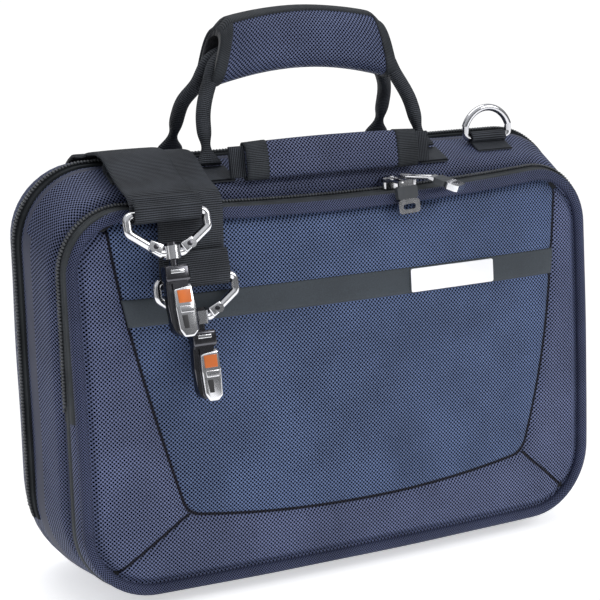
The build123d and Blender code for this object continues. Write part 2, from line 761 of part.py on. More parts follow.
for name, (spot, teeth, out, link_run, tab_run_dir, face, length) in zips.items():
    link_dir = Vector(*link_run)
    turn = degrees(atan2(link_dir.dot(Vector(*out).cross(Vector(*teeth))), link_dir.dot(Vector(*teeth))))
    with BuildPart() as slider:
        add(slider_body(turn).moved(frame_at(spot, teeth, out)))
    keep(slider, name + "_slider")
    pivot = Vector(*spot) + Vector(*out) * pivot_z
    far_bar = pivot + link_dir.normalized() * length
    with BuildPart() as pull:
        add(pull_link(length).moved(frame_at(pivot, link_run, out)))
        add(pull_plate().moved(frame_at(far_bar, tab_run_dir, face)))
    keep(pull, name + "_pull")
    if name.startswith("pocket"):
        with BuildPart() as sleeve:
            add(pull_sleeve().moved(frame_at(far_bar, tab_run_dir, face)))
        keep(sleeve, name + "_pull_sleeve")


# ---- swivel trigger hooks --------------------------------------------------------------------------
# Own frame: the loop's bar runs along x at the origin and the hook hangs along -z, its face to -y.
def hook_loop():
    shoulder_x = strap_w / 2 + bar_r + 1.0
    with BuildPart() as frame:
        with BuildLine() as wire:
            FilletPolyline((-shoulder_x, 0), (shoulder_x, 0), (shoulder_x, -9), (6, collar_z),
                           (-6, collar_z), (-shoulder_x, -9), radius=3, close=True)
        loop = wire.wires()[0].moved(Location((0, 0, 0), (90, 0, 0)))
        with BuildSketch(Plane(loop @ 0, z_dir=loop % 0)):
            Circle(bar_r)
        sweep(path=loop)
        with Locations((0, 0, collar_z)):
            Cylinder(collar_r, collar_h)
            Cylinder(post_r + run_gap, 2 * collar_h, mode=Mode.SUBTRACT)
        with Locations(Location((-11, 0, collar_z * 0.82), (90, 0, 0)), Location((11, 0, collar_z * 0.82), (90, 0, 0))):
            Cylinder(rivet_r, 2 * bar_r + 1.4)
    return frame.part


def hook_body():
    low = -hook_len
    wide = hook_w / 2
    with BuildPart() as body:
        with Locations((0, 0, collar_z + collar_h / 2 + 0.2 + 0.8)):
            Cylinder(post_r + 1.2, 1.6)
        with Locations((0, 0, (collar_z + collar_h / 2 + cap_z) / 2)):
            Cylinder(post_r, collar_z + collar_h / 2 - cap_z + 1)
        with BuildSketch(Plane.XY.offset(cap_z)):
            RectangleRounded(hook_w, 2 * cheek_y, 2)
        extrude(amount=-cap_h)
        with BuildSketch(Plane.XZ):
            with Locations((0, (cap_z - cap_h + low) / 2)):
                Rectangle(hook_w, cap_z - cap_h - low)
        hooked = extrude(amount=hook_t / 2, both=True)
        fillet(hooked.edges().filter_by(Axis.Y).sort_by(Axis.Z)[:2], wide - 0.3)
        with BuildSketch(Plane.XZ):
            with BuildLine():
                Polyline((-wide + spine_w, cap_z - cap_h + 0.5), (-wide + spine_w, low + 7.5))
                ThreePointArc((-wide + spine_w, low + 7.5), (0.4, low + 3.4), (wide - 3.4, low + 6.2))
                Polyline((wide - 3.4, low + 6.2), (wide - 3.4, low + 8), (wide + 1, low + 8),
                         (wide + 1, cap_z - cap_h + 0.5), (-wide + spine_w, cap_z - cap_h + 0.5))
            make_face()
        extrude(amount=hook_t, both=True, mode=Mode.SUBTRACT)
        for side in (-1, 1):
            with Locations((lever_x + 1.2, side * (cheek_y + lever_y + 0.15) / 2, pin_z + 0.8)):
                Box(wide - lever_x + 1, cheek_y - lever_y - 0.15, cap_z - cap_h - pin_z + 5)
        with Locations(Location((pin_x, 0, pin_z), (90, 0, 0))):
            Cylinder(pin_r, 2 * cheek_y)
    return body.part


def hook_lever():
    wide = hook_w / 2
    top = cap_z - cap_h - 0.9
    tip = -hook_len + 8.3
    with BuildPart() as lever:
        with BuildSketch(Plane.XZ):
            with BuildLine():
                Polyline((wide, top), (wide, tip), (wide - 3, tip), (wide - 3, pin_z - 11), (wide - 4.2, pin_z - 12),
                         (lever_x, pin_z - 12), (lever_x, top), (wide, top))
            make_face()
        extrude(amount=lever_y, both=True)
        with Locations(Location((pin_x, 0, pin_z), (90, 0, 0))):
            Cylinder(pin_r + run_gap, 4 * cheek_y, mode=Mode.SUBTRACT)
    return lever.part


def lever_pad():
    with BuildPart() as pad:
        with Locations((hook_w / 2 - 3.6, -lever_y - 0.5, pin_z - 8)):
            Box(5.8, 1.0, 6.4)
        fillet(pad.edges().filter_by(Axis.Y), 0.8)
    return pad.part


for name, bar, tip_out in (("upper", upper_bar, upper_lean), ("lower", lower_bar, lower_lean)):
    hang = Location(bar, (-tip_out, 0, 0))
    with BuildPart() as loop:
        add(hook_loop().moved(hang))
    keep(loop, "hook_loop_" + name)
    with BuildPart() as body:
        add(hook_body().moved(hang))
    keep(body, "hook_body_" + name)
    with BuildPart() as lever:
        add(hook_lever().moved(hang))
    keep(lever, "hook_lever_" + name)
    with BuildPart() as pad:
        add(lever_pad().moved(hang))
    keep(pad, "hook_pad_" + name)

for name in made:
    print(name)
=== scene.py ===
"""Dressed model of a soft-sided clarinet case: woven nylon, webbing, zips and plated fittings.
Metres, in the part's own frame: +X to the right, -Y out of the pocket, +Z up, main zip at y = 0."""
import math

import bmesh
import bpy
import numpy as np
from mathutils import Matrix, Vector


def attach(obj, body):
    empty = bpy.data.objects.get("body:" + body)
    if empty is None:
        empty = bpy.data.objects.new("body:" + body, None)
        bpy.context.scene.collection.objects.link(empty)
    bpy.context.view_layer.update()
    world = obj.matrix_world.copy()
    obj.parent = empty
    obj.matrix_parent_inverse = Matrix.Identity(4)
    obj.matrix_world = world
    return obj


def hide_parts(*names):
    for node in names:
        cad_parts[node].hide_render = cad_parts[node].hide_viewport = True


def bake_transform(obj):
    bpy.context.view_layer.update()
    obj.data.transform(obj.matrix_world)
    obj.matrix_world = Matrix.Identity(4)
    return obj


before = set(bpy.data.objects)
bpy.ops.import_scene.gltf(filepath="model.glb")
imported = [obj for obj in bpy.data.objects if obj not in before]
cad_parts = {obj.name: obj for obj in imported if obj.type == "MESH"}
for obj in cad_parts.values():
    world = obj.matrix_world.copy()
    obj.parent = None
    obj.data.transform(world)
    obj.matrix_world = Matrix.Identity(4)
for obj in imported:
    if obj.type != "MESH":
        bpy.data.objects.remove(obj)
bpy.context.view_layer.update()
MM = 0.001

# ---- sizes shared with the solids, in millimetres
CASE_W, CASE_H, TOP_R, FOOT_R = 348.0, 238.0, 41.0, 58.0
WALL, PARTING, RIM, LID_D, LID_SIDE_IN, LID_TOP_IN = 5.0, 0.15, 9.0, 38.0, 4.5, 12.0
REAR_D, REAR_R = 50.0, 30.0
POCKET_W, POCKET_FOOT, POCKET_H, POCKET_TOP_R, POCKET_FOOT_R, POCKET_SAG = 331.0, 7.0, 216.0, 37.0, 41.0, 8.0
POCKET_TOP = POCKET_FOOT + POCKET_H
# radius, height of the centre and side of each pair of the pocket's corners
POCKET_CORNERS = ((POCKET_TOP_R, POCKET_TOP - POCKET_TOP_R, 1), (POCKET_FOOT_R, POCKET_FOOT + POCKET_FOOT_R, -1))
DOME_R, DOME_Y, DOME_Z = 2000.0, 62.0, 50.0
FOLD_Z, FOLD_Y, FOLD_BEND = 108.0, -61.9, 7.0
BAND_Z = (157.0, 172.0)
STRAP_W, STRAP_T = 38.0, 1.8
UPPER_X, LOWER_X = -113.0, -96.5
LEG_X, GRIP_Z, GRIP_RISE, GRIP_LEN = 69.0, 301.0, 9.0, 112.0
FRONT_PIVOT, REAR_PIVOT = (-23.0, 236.01), (31.56, 239.76)


# ---- small mathematics
def ease(low, high, value):
    """0 below low, 1 above high, smooth between."""
    t = np.clip((np.asarray(value, float) - low) / (high - low), 0, 1)
    return t * t * (3 - 2 * t)


def ripple(points, wave, seed):
    """Gentle unevenness from -1 to 1 over points (..., 3), repeating about every wave."""
    rng = np.random.default_rng(seed)
    total = np.zeros(points.shape[:-1])
    for _ in range(7):
        way = rng.normal(size=3)
        way *= 2 * math.pi / (wave * rng.uniform(0.7, 1.5) * np.linalg.norm(way))
        total += np.sin(points @ way + rng.uniform(0, 6.28))
    return total / 3.2


def arc_length(points):
    """Distance of each point from the first, along the line through them."""
    return np.concatenate([[0], np.cumsum(np.linalg.norm(np.diff(points, axis=0), axis=-1))])


def unit(vectors):
    """Vectors brought to length 1."""
    return vectors / np.linalg.norm(vectors, axis=-1, keepdims=True)


def blunt(value, power):
    """A sine or cosine bent so that its circle becomes a rounded square."""
    return np.sign(value) * abs(value) ** power


def smooth_path(points, count):
    """Points evenly spaced along a smooth line through the given ones."""
    p = np.asarray(points, float)
    ext = np.vstack([2 * p[0] - p[1], p, 2 * p[-1] - p[-2]])
    fine = []
    for i in range(1, len(ext) - 2):
        a, b, c, d = ext[i - 1:i + 3]
        t = np.linspace(0, 1, 40, endpoint=False)[:, None]
        fine.append(0.5 * (2 * b + (c - a) * t + (2 * a - 5 * b + 4 * c - d) * t ** 2
                           + (3 * b - a - 3 * c + d) * t ** 3))
    fine = np.vstack(fine + [p[-1:]])
    run = arc_length(fine)
    at = np.linspace(0, run[-1], count)
    return np.stack([np.interp(at, run, fine[:, k]) for k in range(p.shape[1])], axis=1)


def cloth_uv(across, down):
    """Texture places from lengths along the columns and down the rows."""
    return np.stack(np.broadcast_arrays(across[None, :], down[:, None]), -1)


def turned(tube):
    """A tube's section loops, from rows that run along it."""
    return tube.swapaxes(0, 1)


# ---- mesh building
def placed(name, data):
    """A new object in the scene."""
    thing = bpy.data.objects.new(name, data)
    bpy.context.scene.collection.objects.link(thing)
    return thing


class Piece:
    """A mesh made of grids that are sewn together where they meet. Works in millimetres."""

    def __init__(self, name):
        self.name = name
        self.bm = bmesh.new()
        self.uv = self.bm.loops.layers.uv.new("UVMap")

    def grid(self, points, uv, finish=0):
        """points (n, m, 3); uv (n, m, 2) in mm; finish is a slot number or one for each row of faces."""
        n, m = points.shape[:2]
        verts = [[self.bm.verts.new(points[i, j] * MM) for j in range(m)] for i in range(n)]
        rows = [finish] * (n - 1) if np.isscalar(finish) else finish
        for i in range(n - 1):
            for j in range(m - 1):
                corners = ((i, j), (i, j + 1), (i + 1, j + 1), (i + 1, j))
                face = self.bm.faces.new([verts[a][b] for a, b in corners])
                face.material_index = int(rows[i])
                face.smooth = True
                for loop, (a, b) in zip(face.loops, corners):
                    loop[self.uv].uv = uv[a, b] * MM

    def shut(self, loops, axes, finish=(0, 0)):
        """Flat faces over the first and last of closed loops, textured along two axes."""
        for ring, number in zip((loops[0], loops[-1]), finish):
            face = self.bm.faces.new([self.bm.verts.new(p * MM) for p in ring[:-1]])
            face.material_index = number
            for loop, place in zip(face.loops, ring[:-1, axes]):
                loop[self.uv].uv = place * MM

    def done(self, materials, merge=0.004):
        bmesh.ops.remove_doubles(self.bm, verts=self.bm.verts, dist=merge * MM)
        bmesh.ops.dissolve_degenerate(self.bm, edges=self.bm.edges, dist=merge * MM * 0.5)
        bmesh.ops.recalc_face_normals(self.bm, faces=self.bm.faces)
        mesh = bpy.data.meshes.new(self.name)
        self.bm.to_mesh(mesh)
        self.bm.free()
        for material in materials:
            mesh.materials.append(material)
        return placed(self.name, mesh)


def tube(name, points, uv, axes, material):
    """Closed tube of one cloth from rows along it, its ends shut and textured along two axes."""
    made = Piece(name)
    made.grid(points, uv)
    made.shut(turned(points), axes)
    return made.done([material])


def carried(piece, body, nodes=()):
    """A finished piece goes on its body and stands for its nodes."""
    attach(piece, body)
    if nodes:
        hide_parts(*nodes)
    return piece


def redress(piece, old, new, chosen):
    """Faces of one finish take another where their middle is chosen."""
    for face in piece.data.polygons:
        if face.material_index == old and chosen(face.center):
            face.material_index = new


def outline(width, height, z0, r_top, r_foot, per=(26, 12, 22)):
    """Rounded outline as a closed (n, 2) loop of (x, z) from the middle of the bottom, going right."""
    straight, corner, side = per
    x, top = width / 2, z0 + height
    rt, rf = (min(max(r, 0.4), x * 0.98, height * 0.49) for r in (r_top, r_foot))
    half = [np.stack([np.linspace(0, x - rf, straight, endpoint=False), np.full(straight, z0)], 1)]
    for cx, cz, r, a0 in ((x - rf, z0 + rf, rf, -90), (x - rt, top - rt, rt, 0)):
        a = np.radians(np.linspace(a0, a0 + 90, corner, endpoint=False))
        half.append(np.stack([cx + r * np.cos(a), cz + r * np.sin(a)], 1))
        if a0 == -90:
            half.append(np.stack([np.full(side, x), np.linspace(z0 + rf, top - rt, side, endpoint=False)], 1))
    half.append(np.stack([np.linspace(x - rt, 0, straight, endpoint=False), np.full(straight, top)], 1))
    right = np.vstack(half + [[[0, top]]])
    left = right[::-1][1:] * [-1, 1]
    return np.vstack([right, left])


def ring3(loop, y):
    """An (x, z) loop at one depth, or at a depth for each point."""
    return np.stack([loop[:, 0], np.full(len(loop), y), loop[:, 1]], 1)


def sag(x, z):
    """How far the pocket's top edge dips towards its middle."""
    return POCKET_SAG * (1 - (x / (POCKET_W / 2)) ** 2) * ease(110, POCKET_TOP, z)


def pocket_loop(grow, per=(40, 12, 34)):
    """The pocket's outline, grown or drawn in."""
    loop = outline(POCKET_W + 2 * grow, POCKET_H + 2 * grow, POCKET_FOOT - grow,
                   POCKET_TOP_R + grow, POCKET_FOOT_R + grow, per)
    loop[:, 1] -= sag(loop[:, 0], loop[:, 1])
    return loop


def dome_y(x, z):
    """Depth of the pocket's bulging front."""
    return -(DOME_Y - (x * x + (z - DOME_Z) ** 2) / (2 * DOME_R))


# ---- materials
def feed(tree, socket, value):
    """Link an output to a socket, or give the socket a plain value."""
    if isinstance(value, bpy.types.NodeSocket):
        tree.links.new(value, socket)
    else:
        socket.default_value = value


def wired(tree, kind, settings=None, **inputs):
    """A new node's outputs. Its inputs are named, with _ for a space, or numbered as i0, i1 and so on."""
    made = tree.nodes.new(kind)
    for key, value in (settings or {}).items():
        setattr(made, key, value)
    for key, value in inputs.items():
        feed(tree, made.inputs[int(key[1:]) if key[1:].isdigit() else key.replace("_", " ")], value)
    return made.outputs


SMOOTH = {"interpolation_type": "SMOOTHSTEP"}


class Finish:
    """A material's node tree, with short words for what it is made of."""

    def __init__(self, name, colour, rough=0.5, metal=0.0, level=0.5):
        self.material = bpy.data.materials.new(name)
        self.material.use_nodes = True
        self.tree = self.material.node_tree
        self.tree.nodes.clear()
        out = self.tree.nodes.new("ShaderNodeOutputMaterial")
        self.shader = self.tree.nodes.new("ShaderNodeBsdfPrincipled")
        self.tree.links.new(self.shader.outputs[0], out.inputs[0])
        self.set(Base_Color=(*colour, 1), Roughness=rough, Metallic=metal, Specular_IOR_Level=level)

    def set(self, **inputs):
        for key, value in inputs.items():
            feed(self.tree, self.shader.inputs[key.replace("_", " ")], value)

    def node(self, kind, out=0, settings=None, **inputs):
        return wired(self.tree, "ShaderNode" + kind, settings, **inputs)[out]

    def calc(self, operation, a, b=0.0):
        return self.node("Math", 0, {"operation": operation}, i0=a, i1=b)

    def times(self, a, b):
        return self.calc("MULTIPLY", a, b)

    def plus(self, a, b):
        return self.calc("ADD", a, b)

    def span(self, value, low, high, to_low=0.0, to_high=1.0):
        return self.node("MapRange", 0, SMOOTH, i0=value, i1=low, i2=high, i3=to_low, i4=to_high)

    def blend(self, factor, a, b):
        a, b = ((*value, 1) if isinstance(value, tuple) else value for value in (a, b))
        return self.node("Mix", 2, {"data_type": "RGBA"}, i0=factor, i6=a, i7=b)

    def dyed_and_shaded(self, colour, painted_light_and_tone):
        """The base colour of a cloth, scaled by a tone that holds painted highlights and painted shade on its threads
        as well as its random tone.
        """
        return self.node("VectorMath", 0, {"operation": "SCALE"}, i0=colour, Scale=painted_light_and_tone)

    def attribute(self, name):
        return self.node("Attribute", 2, {"attribute_name": name})

    def place(self, kind):
        return self.node("TexCoord", kind)

    def axes(self, kind):
        """The three parts of a texture place."""
        return wired(self.tree, "ShaderNodeSeparateXYZ", i0=self.place(kind))

    def noise(self, scale, detail=2.0, rough=0.5):
        return self.node("TexNoise", Vector=self.place("Object"), Scale=scale, Detail=detail, Roughness=rough)

    def wave(self, value, pitch):
        """Sine along a length, with half a turn to each pitch in mm."""
        return self.calc("SINE", self.times(value, math.pi / (pitch * MM)))

    def bump(self, height, distance, strength=1.0):
        self.set(Normal=self.node("Bump", Height=height, Distance=distance, Strength=strength))

    def mottle(self, value, low, high, dark, light):
        """A base colour that wanders between two."""
        self.set(Base_Color=self.blend(self.span(value, low, high), dark, light))

    def sheen(self, weight, rough=0.5):
        self.set(Sheen_Weight=weight, Sheen_Roughness=rough)

    def threads(self, across, along, pitch):
        """Plain weave laid on the diagonal: pinholes between the threads, and which thread is on top. The height serves
        as a bump and also as painted highlight and painted shade in the colour.
        """
        diagonal = 0.70711
        waves = [self.wave(self.times(self.calc(way, across, along), diagonal), pitch) for way in ("ADD", "SUBTRACT")]
        high = [self.calc("ABSOLUTE", wave) for wave in waves]
        over = self.calc("GREATER_THAN", self.times(*waves), 0.0)
        hole = self.span(self.calc("MAXIMUM", *high), 0.50, 0.97)
        round_thread = self.plus(self.times(high[0], over), self.times(high[1], self.calc("SUBTRACT", 1.0, over)))
        return self.times(hole, self.plus(0.45, self.times(round_thread, 0.55))), over


def shade(colour, k):
    return tuple(c * k for c in colour)


def woven(name, colour, pitch=1.6, glint=3.5, rough=0.60, depth=0.30, centre=None):
    """Coarse nylon: crossed threads with painted highlights on them and painted shade in the gaps between them. centre
    is the colour inside the attribute "seam".
    """
    f = Finish(name, colour, rough, level=0.18)
    u, v, _ = f.axes("UV")
    height, over = f.threads(u, v, pitch)
    cloud = f.span(f.noise(28.0, 3.0), 0.3, 0.7, 0.86, 1.14)
    # Painted light: the woven height paints the threads up to glint as a painted highlight and the pinholes dark as
    # painted shade; cloud is random tone.
    lit = f.calc("POWER", f.span(height, 0.15, 0.95), 1.5)
    painted_light_and_tone = f.times(f.span(lit, 0.0, 1.0, 0.0, glint), cloud)
    # The thread on top at each crossing is painted a little lighter, a painted highlight.
    painted_light_and_tone = f.times(painted_light_and_tone, f.plus(0.93, f.times(over, 0.14)))
    if centre:
        colour = f.blend(f.span(f.attribute("seam"), -0.4 * MM, 0.4 * MM), centre, colour)
    result = f.dyed_and_shaded(colour, painted_light_and_tone)
    if centre:
        for line in ("seam", "mitre"):
            near = f.span(f.calc("ABSOLUTE", f.attribute(line)), 0.48 * MM, 1.32 * MM, 1.0, 0.0)
            result = f.blend(near, result, SEAM_BLACK)
    f.set(Base_Color=result, Roughness=f.span(height, 0.0, 1.0, rough + 0.25, rough - 0.08),
          Specular_IOR_Level=f.span(height, 0.2, 0.95, 0.0, 0.26))
    f.sheen(0.01, 0.45)
    f.bump(height, depth * MM)
    return f.material


def ribbed(name, colour, pitch=1.15, gap=0.08, glint=2.3, depth=0.26, cross=0.9):
    """Webbing: ribs across the run, made of fine threads, with painted highlights on the ribs and painted shade between
    them. u runs across, v along.
    """
    f = Finish(name, colour, 0.62, level=0.16)
    u, v, _ = f.axes("UV")
    rib, fine = (f.calc("ABSOLUTE", f.wave(place, size)) for place, size in ((v, pitch), (u, cross)))
    height = f.times(f.calc("POWER", rib, 0.7), f.plus(0.7, f.times(fine, 0.3)))
    cloud = f.span(f.noise(60.0, 3.0), 0.3, 0.7, 0.8, 1.2)
    # Painted light: the ribs are painted up to glint as a painted highlight and the hollows between them down to gap as
    # painted shade; cloud is random tone.
    f.set(Base_Color=f.dyed_and_shaded(colour, f.times(f.span(height, 0.1, 0.95, gap, glint), cloud)),
          Specular_IOR_Level=f.span(height, 0.1, 0.95, 0.02, 0.24))
    f.sheen(0.01)
    f.bump(height, depth * MM)
    return f.material


def pile(name, colour):
    """Short plush lining."""
    f = Finish(name, colour, 0.95, level=0.15)
    fuzz = f.noise(900.0, 4.0, 0.7)
    nap = f.plus(f.times(fuzz, 0.6), f.times(f.noise(35.0, 3.0), 0.4))
    f.mottle(nap, 0.35, 0.65, shade(colour, 0.55), shade(colour, 1.7))
    f.sheen(0.25, 0.35)
    f.bump(fuzz, 0.8 * MM, 0.8)
    return f.material


def plated(name, colour, rough=0.08, wear=0.05):
    """Polished plating with faint handling marks."""
    f = Finish(name, colour, rough, metal=1.0)
    marks = f.noise(220.0, 5.0, 0.65)
    f.set(Roughness=f.span(marks, 0.35, 0.75, rough, rough + wear))
    f.mottle(f.noise(45.0), 0.3, 0.7, shade(colour, 0.86), colour)
    f.bump(marks, 0.01 * MM, 0.06)
    return f.material


def moulded(name, colour, rough=0.45, grain=500.0, depth=0.03):
    """Plastic or rubber with a fine moulded grain."""
    f = Finish(name, colour, rough, level=0.45)
    skin = f.noise(grain, 3.0)
    f.mottle(f.noise(60.0), 0.35, 0.65, shade(colour, 0.85), shade(colour, 1.12))
    f.set(Roughness=f.span(skin, 0.3, 0.7, rough - 0.07, rough + 0.1))
    f.bump(skin, depth * MM, 0.6)
    return f.material


def smooth_cloth(name, colour):
    """Close-woven smooth tape."""
    f = Finish(name, colour, 0.6, level=0.25)
    fine = f.noise(1400.0)
    grain = f.plus(f.times(fine, 0.5), f.times(f.noise(40.0, 3.0), 0.5))
    f.mottle(grain, 0.35, 0.65, shade(colour, 0.86), shade(colour, 1.14))
    f.sheen(0.03)
    f.bump(fine, 0.05 * MM, 0.6)
    return f.material


SEAM_BLACK = (0.004, 0.004, 0.009)
# The shell's navy is painted darker than the front panels' navy, as painted shade on the sides and top of the case and
# on the grab pad.
navy_painted_shade = woven("navy_nylon_painted_shade", (0.027, 0.032, 0.057))
navy_front = woven("navy_front_panels", (0.034, 0.041, 0.074), centre=(0.028, 0.040, 0.076))
# The grip wrap's navy is painted darker than the front panels' navy, as painted shade on the grip.
navy_wrap_painted_shade = woven("navy_wrap_nylon_painted_shade", (0.027, 0.033, 0.060))
navy_fine = woven("navy_fine_nylon", (0.029, 0.035, 0.068), pitch=1.15, glint=2.1, depth=0.18)
navy_trim = smooth_cloth("navy_edge_cloth", (0.036, 0.040, 0.066))
webbing = ribbed("black_webbing", (0.017, 0.019, 0.023))
grosgrain = ribbed("black_grosgrain_binding", (0.015, 0.017, 0.020), pitch=0.95, depth=0.16)
tape = ribbed("zip_tape_black", (0.034, 0.038, 0.042), pitch=0.8, gap=0.6, glint=1.3, depth=0.06, cross=0.6)
band_cloth = smooth_cloth("smooth_black_band", (0.036, 0.044, 0.053))
plush = pile("black_plush_lining", (0.020, 0.021, 0.024))
chrome = plated("plated_hook_metal", (0.72, 0.72, 0.74), 0.14)
dark_chrome = plated("dark_plated_cap", (0.10, 0.10, 0.11), 0.16)
wire_metal = plated("plated_wire", (0.58, 0.58, 0.60), 0.12)
zip_metal = plated("zip_fitting_metal", (0.62, 0.62, 0.64), 0.14)
satin = plated("satin_plate", (0.93, 0.93, 0.95), 0.32, 0.08)
rubber = moulded("grey_pull_rubber", (0.036, 0.040, 0.046), 0.55)
orange = moulded("orange_insert", (0.60, 0.14, 0.02), 0.40)
black_plastic = moulded("black_moulded_plastic", (0.018, 0.018, 0.020), 0.42)
coil_nylon = moulded("zip_coil_nylon", (0.075, 0.080, 0.088), 0.30, 900.0, 0.01)


def refinish(material, *nodes):
    for name in nodes:
        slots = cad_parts[name].data.materials
        for i in range(len(slots)):
            slots[i] = material
        if not slots:
            slots.append(material)


refinish(plush, "instrument_tray", "hinge_strip")
refinish(chrome, "hook_loop_upper", "hook_loop_lower", "hook_lever_upper", "hook_lever_lower")
refinish(dark_chrome, "hook_body_upper", "hook_body_lower")
refinish(wire_metal, "d_ring_left", "d_ring_right")
refinish(zip_metal, *[zipper + "_" + hand + part for part in ("_slider", "_pull")
                      for zipper in ("main", "pocket") for hand in ("left", "right")])
refinish(rubber, "pocket_left_pull_sleeve", "pocket_right_pull_sleeve")
refinish(satin, "name_plate")
refinish(black_plastic, "strap_adjuster")
refinish(tape, "lid_zip", "rear_zip")


# ---- the two halves
def half_case(name, rows, outer, trim=()):
    """Shell lofted through rows (y, side inset, top inset, foot inset, radius change, flat?); its cloth ends
    and its lining starts at row outer, and the rows that end within trim are edge cloth."""
    made = Piece(name)
    points = np.array([ring3(outline(CASE_W - 2 * side, CASE_H - top - foot, foot, TOP_R - shrink, FOOT_R - shrink), y)
                       for y, side, top, foot, shrink, _ in rows])
    finishes = [1 if trim and trim[0] <= row[0] <= trim[1] else 0 for row in rows[1:outer]] + [2] * (len(rows) - outer)
    around = arc_length(points[outer - 1])
    soft = ease(4, 24, points[..., 2]) * ease(1.0, 9.0, np.abs(points[..., 1]))
    soft[outer:] = 0
    outward = points - np.array([0, 0, CASE_H / 2])
    outward[..., 1] *= 4
    points = points + unit(outward) * (0.35 * ripple(points, 90, 4) * soft)[..., None]
    wall_uv = cloth_uv(around, arc_length(points[:, len(around) // 2]))
    flat_uv = points[..., [0, 2]]
    flats = [row[5] for row in rows[1:]]
    i = 0
    while i < len(flats):
        j = i
        while j < len(flats) and flats[j] == flats[i]:
            j += 1
        made.grid(points[i:j + 1], (flat_uv if flats[i] else wall_uv)[i:j + 1], finishes[i:j])
        i = j
    made.shut(points, [0, 2], (finishes[0], finishes[-1]))
    return made.done([navy_painted_shade, navy_trim, plush])


def rounded(depth, r, count):
    """Depth and inset of each step round an edge, without its start."""
    return [(depth - r + r * math.sin(a), r * (1 - math.cos(a))) for a in np.radians(np.linspace(0, 90, count + 1)[1:])]


def tuck(y):
    """The rear half draws in at its sides behind the rim."""
    return float(np.interp(y, [9, 14, 20, 25, 35, 50], [0, 1.5, 3.0, 3.4, 3.8, 4.0]))


def rear_rows():
    middle = 118.6  # inset at which the flat back and its lining end, under 1 mm across
    rows = [(REAR_D, s + tuck(REAR_D), s, s, s, True) for s in np.linspace(REAR_R, middle, 13)[::-1]]
    rows += [(y, turn + tuck(y), turn, turn, turn, False) for y, turn in rounded(REAR_D, REAR_R, 9)[-2::-1]]
    rows += [(y, tuck(y), 0, 0, 0, False) for y in (20, 14, 9, 4, 1.6, PARTING)]
    outer = len(rows)
    rows.append((PARTING, WALL, WALL, WALL, 0, True))
    rows += [(y, WALL, WALL, WALL, 0, False) for y in (8, 20)]
    depth = REAR_D - WALL
    for y, turn in rounded(depth, REAR_R - WALL, 6):
        rows.append((y, WALL + turn, WALL + turn, WALL + turn, turn, False))
    rows += [(depth, s, s, s, s - WALL, True) for s in np.linspace(REAR_R, middle, 5)[1:]]
    return rows, outer


def lid_rows():
    edge_r, middle, inner_middle = 5.0, 112.6, 107.6
    depth = LID_D - WALL

    def slope(y):
        return max((-y - RIM) / (LID_D - RIM), 0)

    rows = [(-LID_D, s + LID_SIDE_IN, s + LID_TOP_IN, s, s, True) for s in np.linspace(edge_r, middle, 9)[::-1]]
    edge = [(-y, turn) for y, turn in rounded(LID_D, edge_r, 5)[-2::-1]]
    for y, turn in edge + [(y, 0) for y in (-33, -29, -25, -21, -17, -13, -11.5, -RIM, -6.5, -4, -1.6, -PARTING)]:
        rows.append((y, LID_SIDE_IN * slope(y) + turn, LID_TOP_IN * slope(y) + turn, turn, turn, False))
    outer = len(rows)
    rows.append((-PARTING, WALL, WALL + LID_TOP_IN, WALL, 0, True))
    rows += [(-y, WALL + LID_SIDE_IN * y / depth, WALL + LID_TOP_IN, WALL, 0, False) for y in (12, 24, depth)]
    rows += [(-depth, s + WALL + LID_SIDE_IN, s + WALL + LID_TOP_IN, s + WALL, s, True)
             for s in np.linspace(0, inner_middle, 5)[1:]]
    return rows, outer


carried(half_case("rear_half_fabric", *rear_rows()), "rear_half", ["rear_shell"])
lid = half_case("lid_fabric", *lid_rows(), trim=(-13, -RIM))
# the top of the lid has no edge cloth
redress(lid, 1, 0, lambda middle: middle.z > 205 * MM and middle.y < -11.2 * MM)
carried(lid, "lid", ["lid_shell"])


# ---- front of the pocket
SEAM_Z = np.array([230.0, 172, 112, 75, 50])
SEAM_LEFT, SEAM_RIGHT = (np.polyfit(SEAM_Z, x, 3) for x in ([143.0, 136, 122, 113, 105], [147.0, 141, 132, 124, 116]))
FOOT_LEFT, FOOT_RIGHT, FOOT_Z = -105.0, 116.0, 50.0
MITRE_END_X, MITRE_END_Z = 149.0, 21.0


def seam_at(x, z):
    """Half width of the centre panel at a height, on the side that x is on."""
    z = np.clip(z, 20, 240)
    return np.where(np.asarray(x) < 0, np.polyval(SEAM_LEFT, z), np.polyval(SEAM_RIGHT, z))


def panel_seams(x, z):
    """Signed distances in mm: outside the centre panel, and past the mitre seam."""
    side = (np.abs(x) - seam_at(x, z)) * 0.985
    middle, half = (FOOT_LEFT + FOOT_RIGHT) / 2, (FOOT_RIGHT - FOOT_LEFT) / 2
    foot = (FOOT_Z - 9 + 9 * ((x - middle) / half) ** 2) - z
    k = 7.0  # rounding of the corner between the two seams
    h = np.clip(0.5 + 0.5 * (side - foot) / k, 0, 1)
    centre = foot * (1 - h) + side * h + k * h * (1 - h)
    corner = np.where(x < 0, -FOOT_LEFT, FOOT_RIGHT)
    run = unit(np.stack([MITRE_END_X - corner, np.full(np.shape(corner), MITRE_END_Z - FOOT_Z)], -1))
    mitre = (np.abs(x) - corner) * run[..., 1] - (z - FOOT_Z) * run[..., 0]
    return centre, mitre


def edge_in(x, z):
    """Distance inwards from the pocket's outline."""
    half = POCKET_W / 2
    flat_z = z + sag(x, z)
    best = np.minimum(np.minimum(half - np.abs(x), POCKET_TOP - flat_z), flat_z - POCKET_FOOT)
    for r, centre, sign in POCKET_CORNERS:
        dx, dz = np.abs(x) - (half - r), sign * (flat_z - centre)
        best = np.where((dx > 0) & (dz > 0), r - np.hypot(dx, dz), best)
    return best


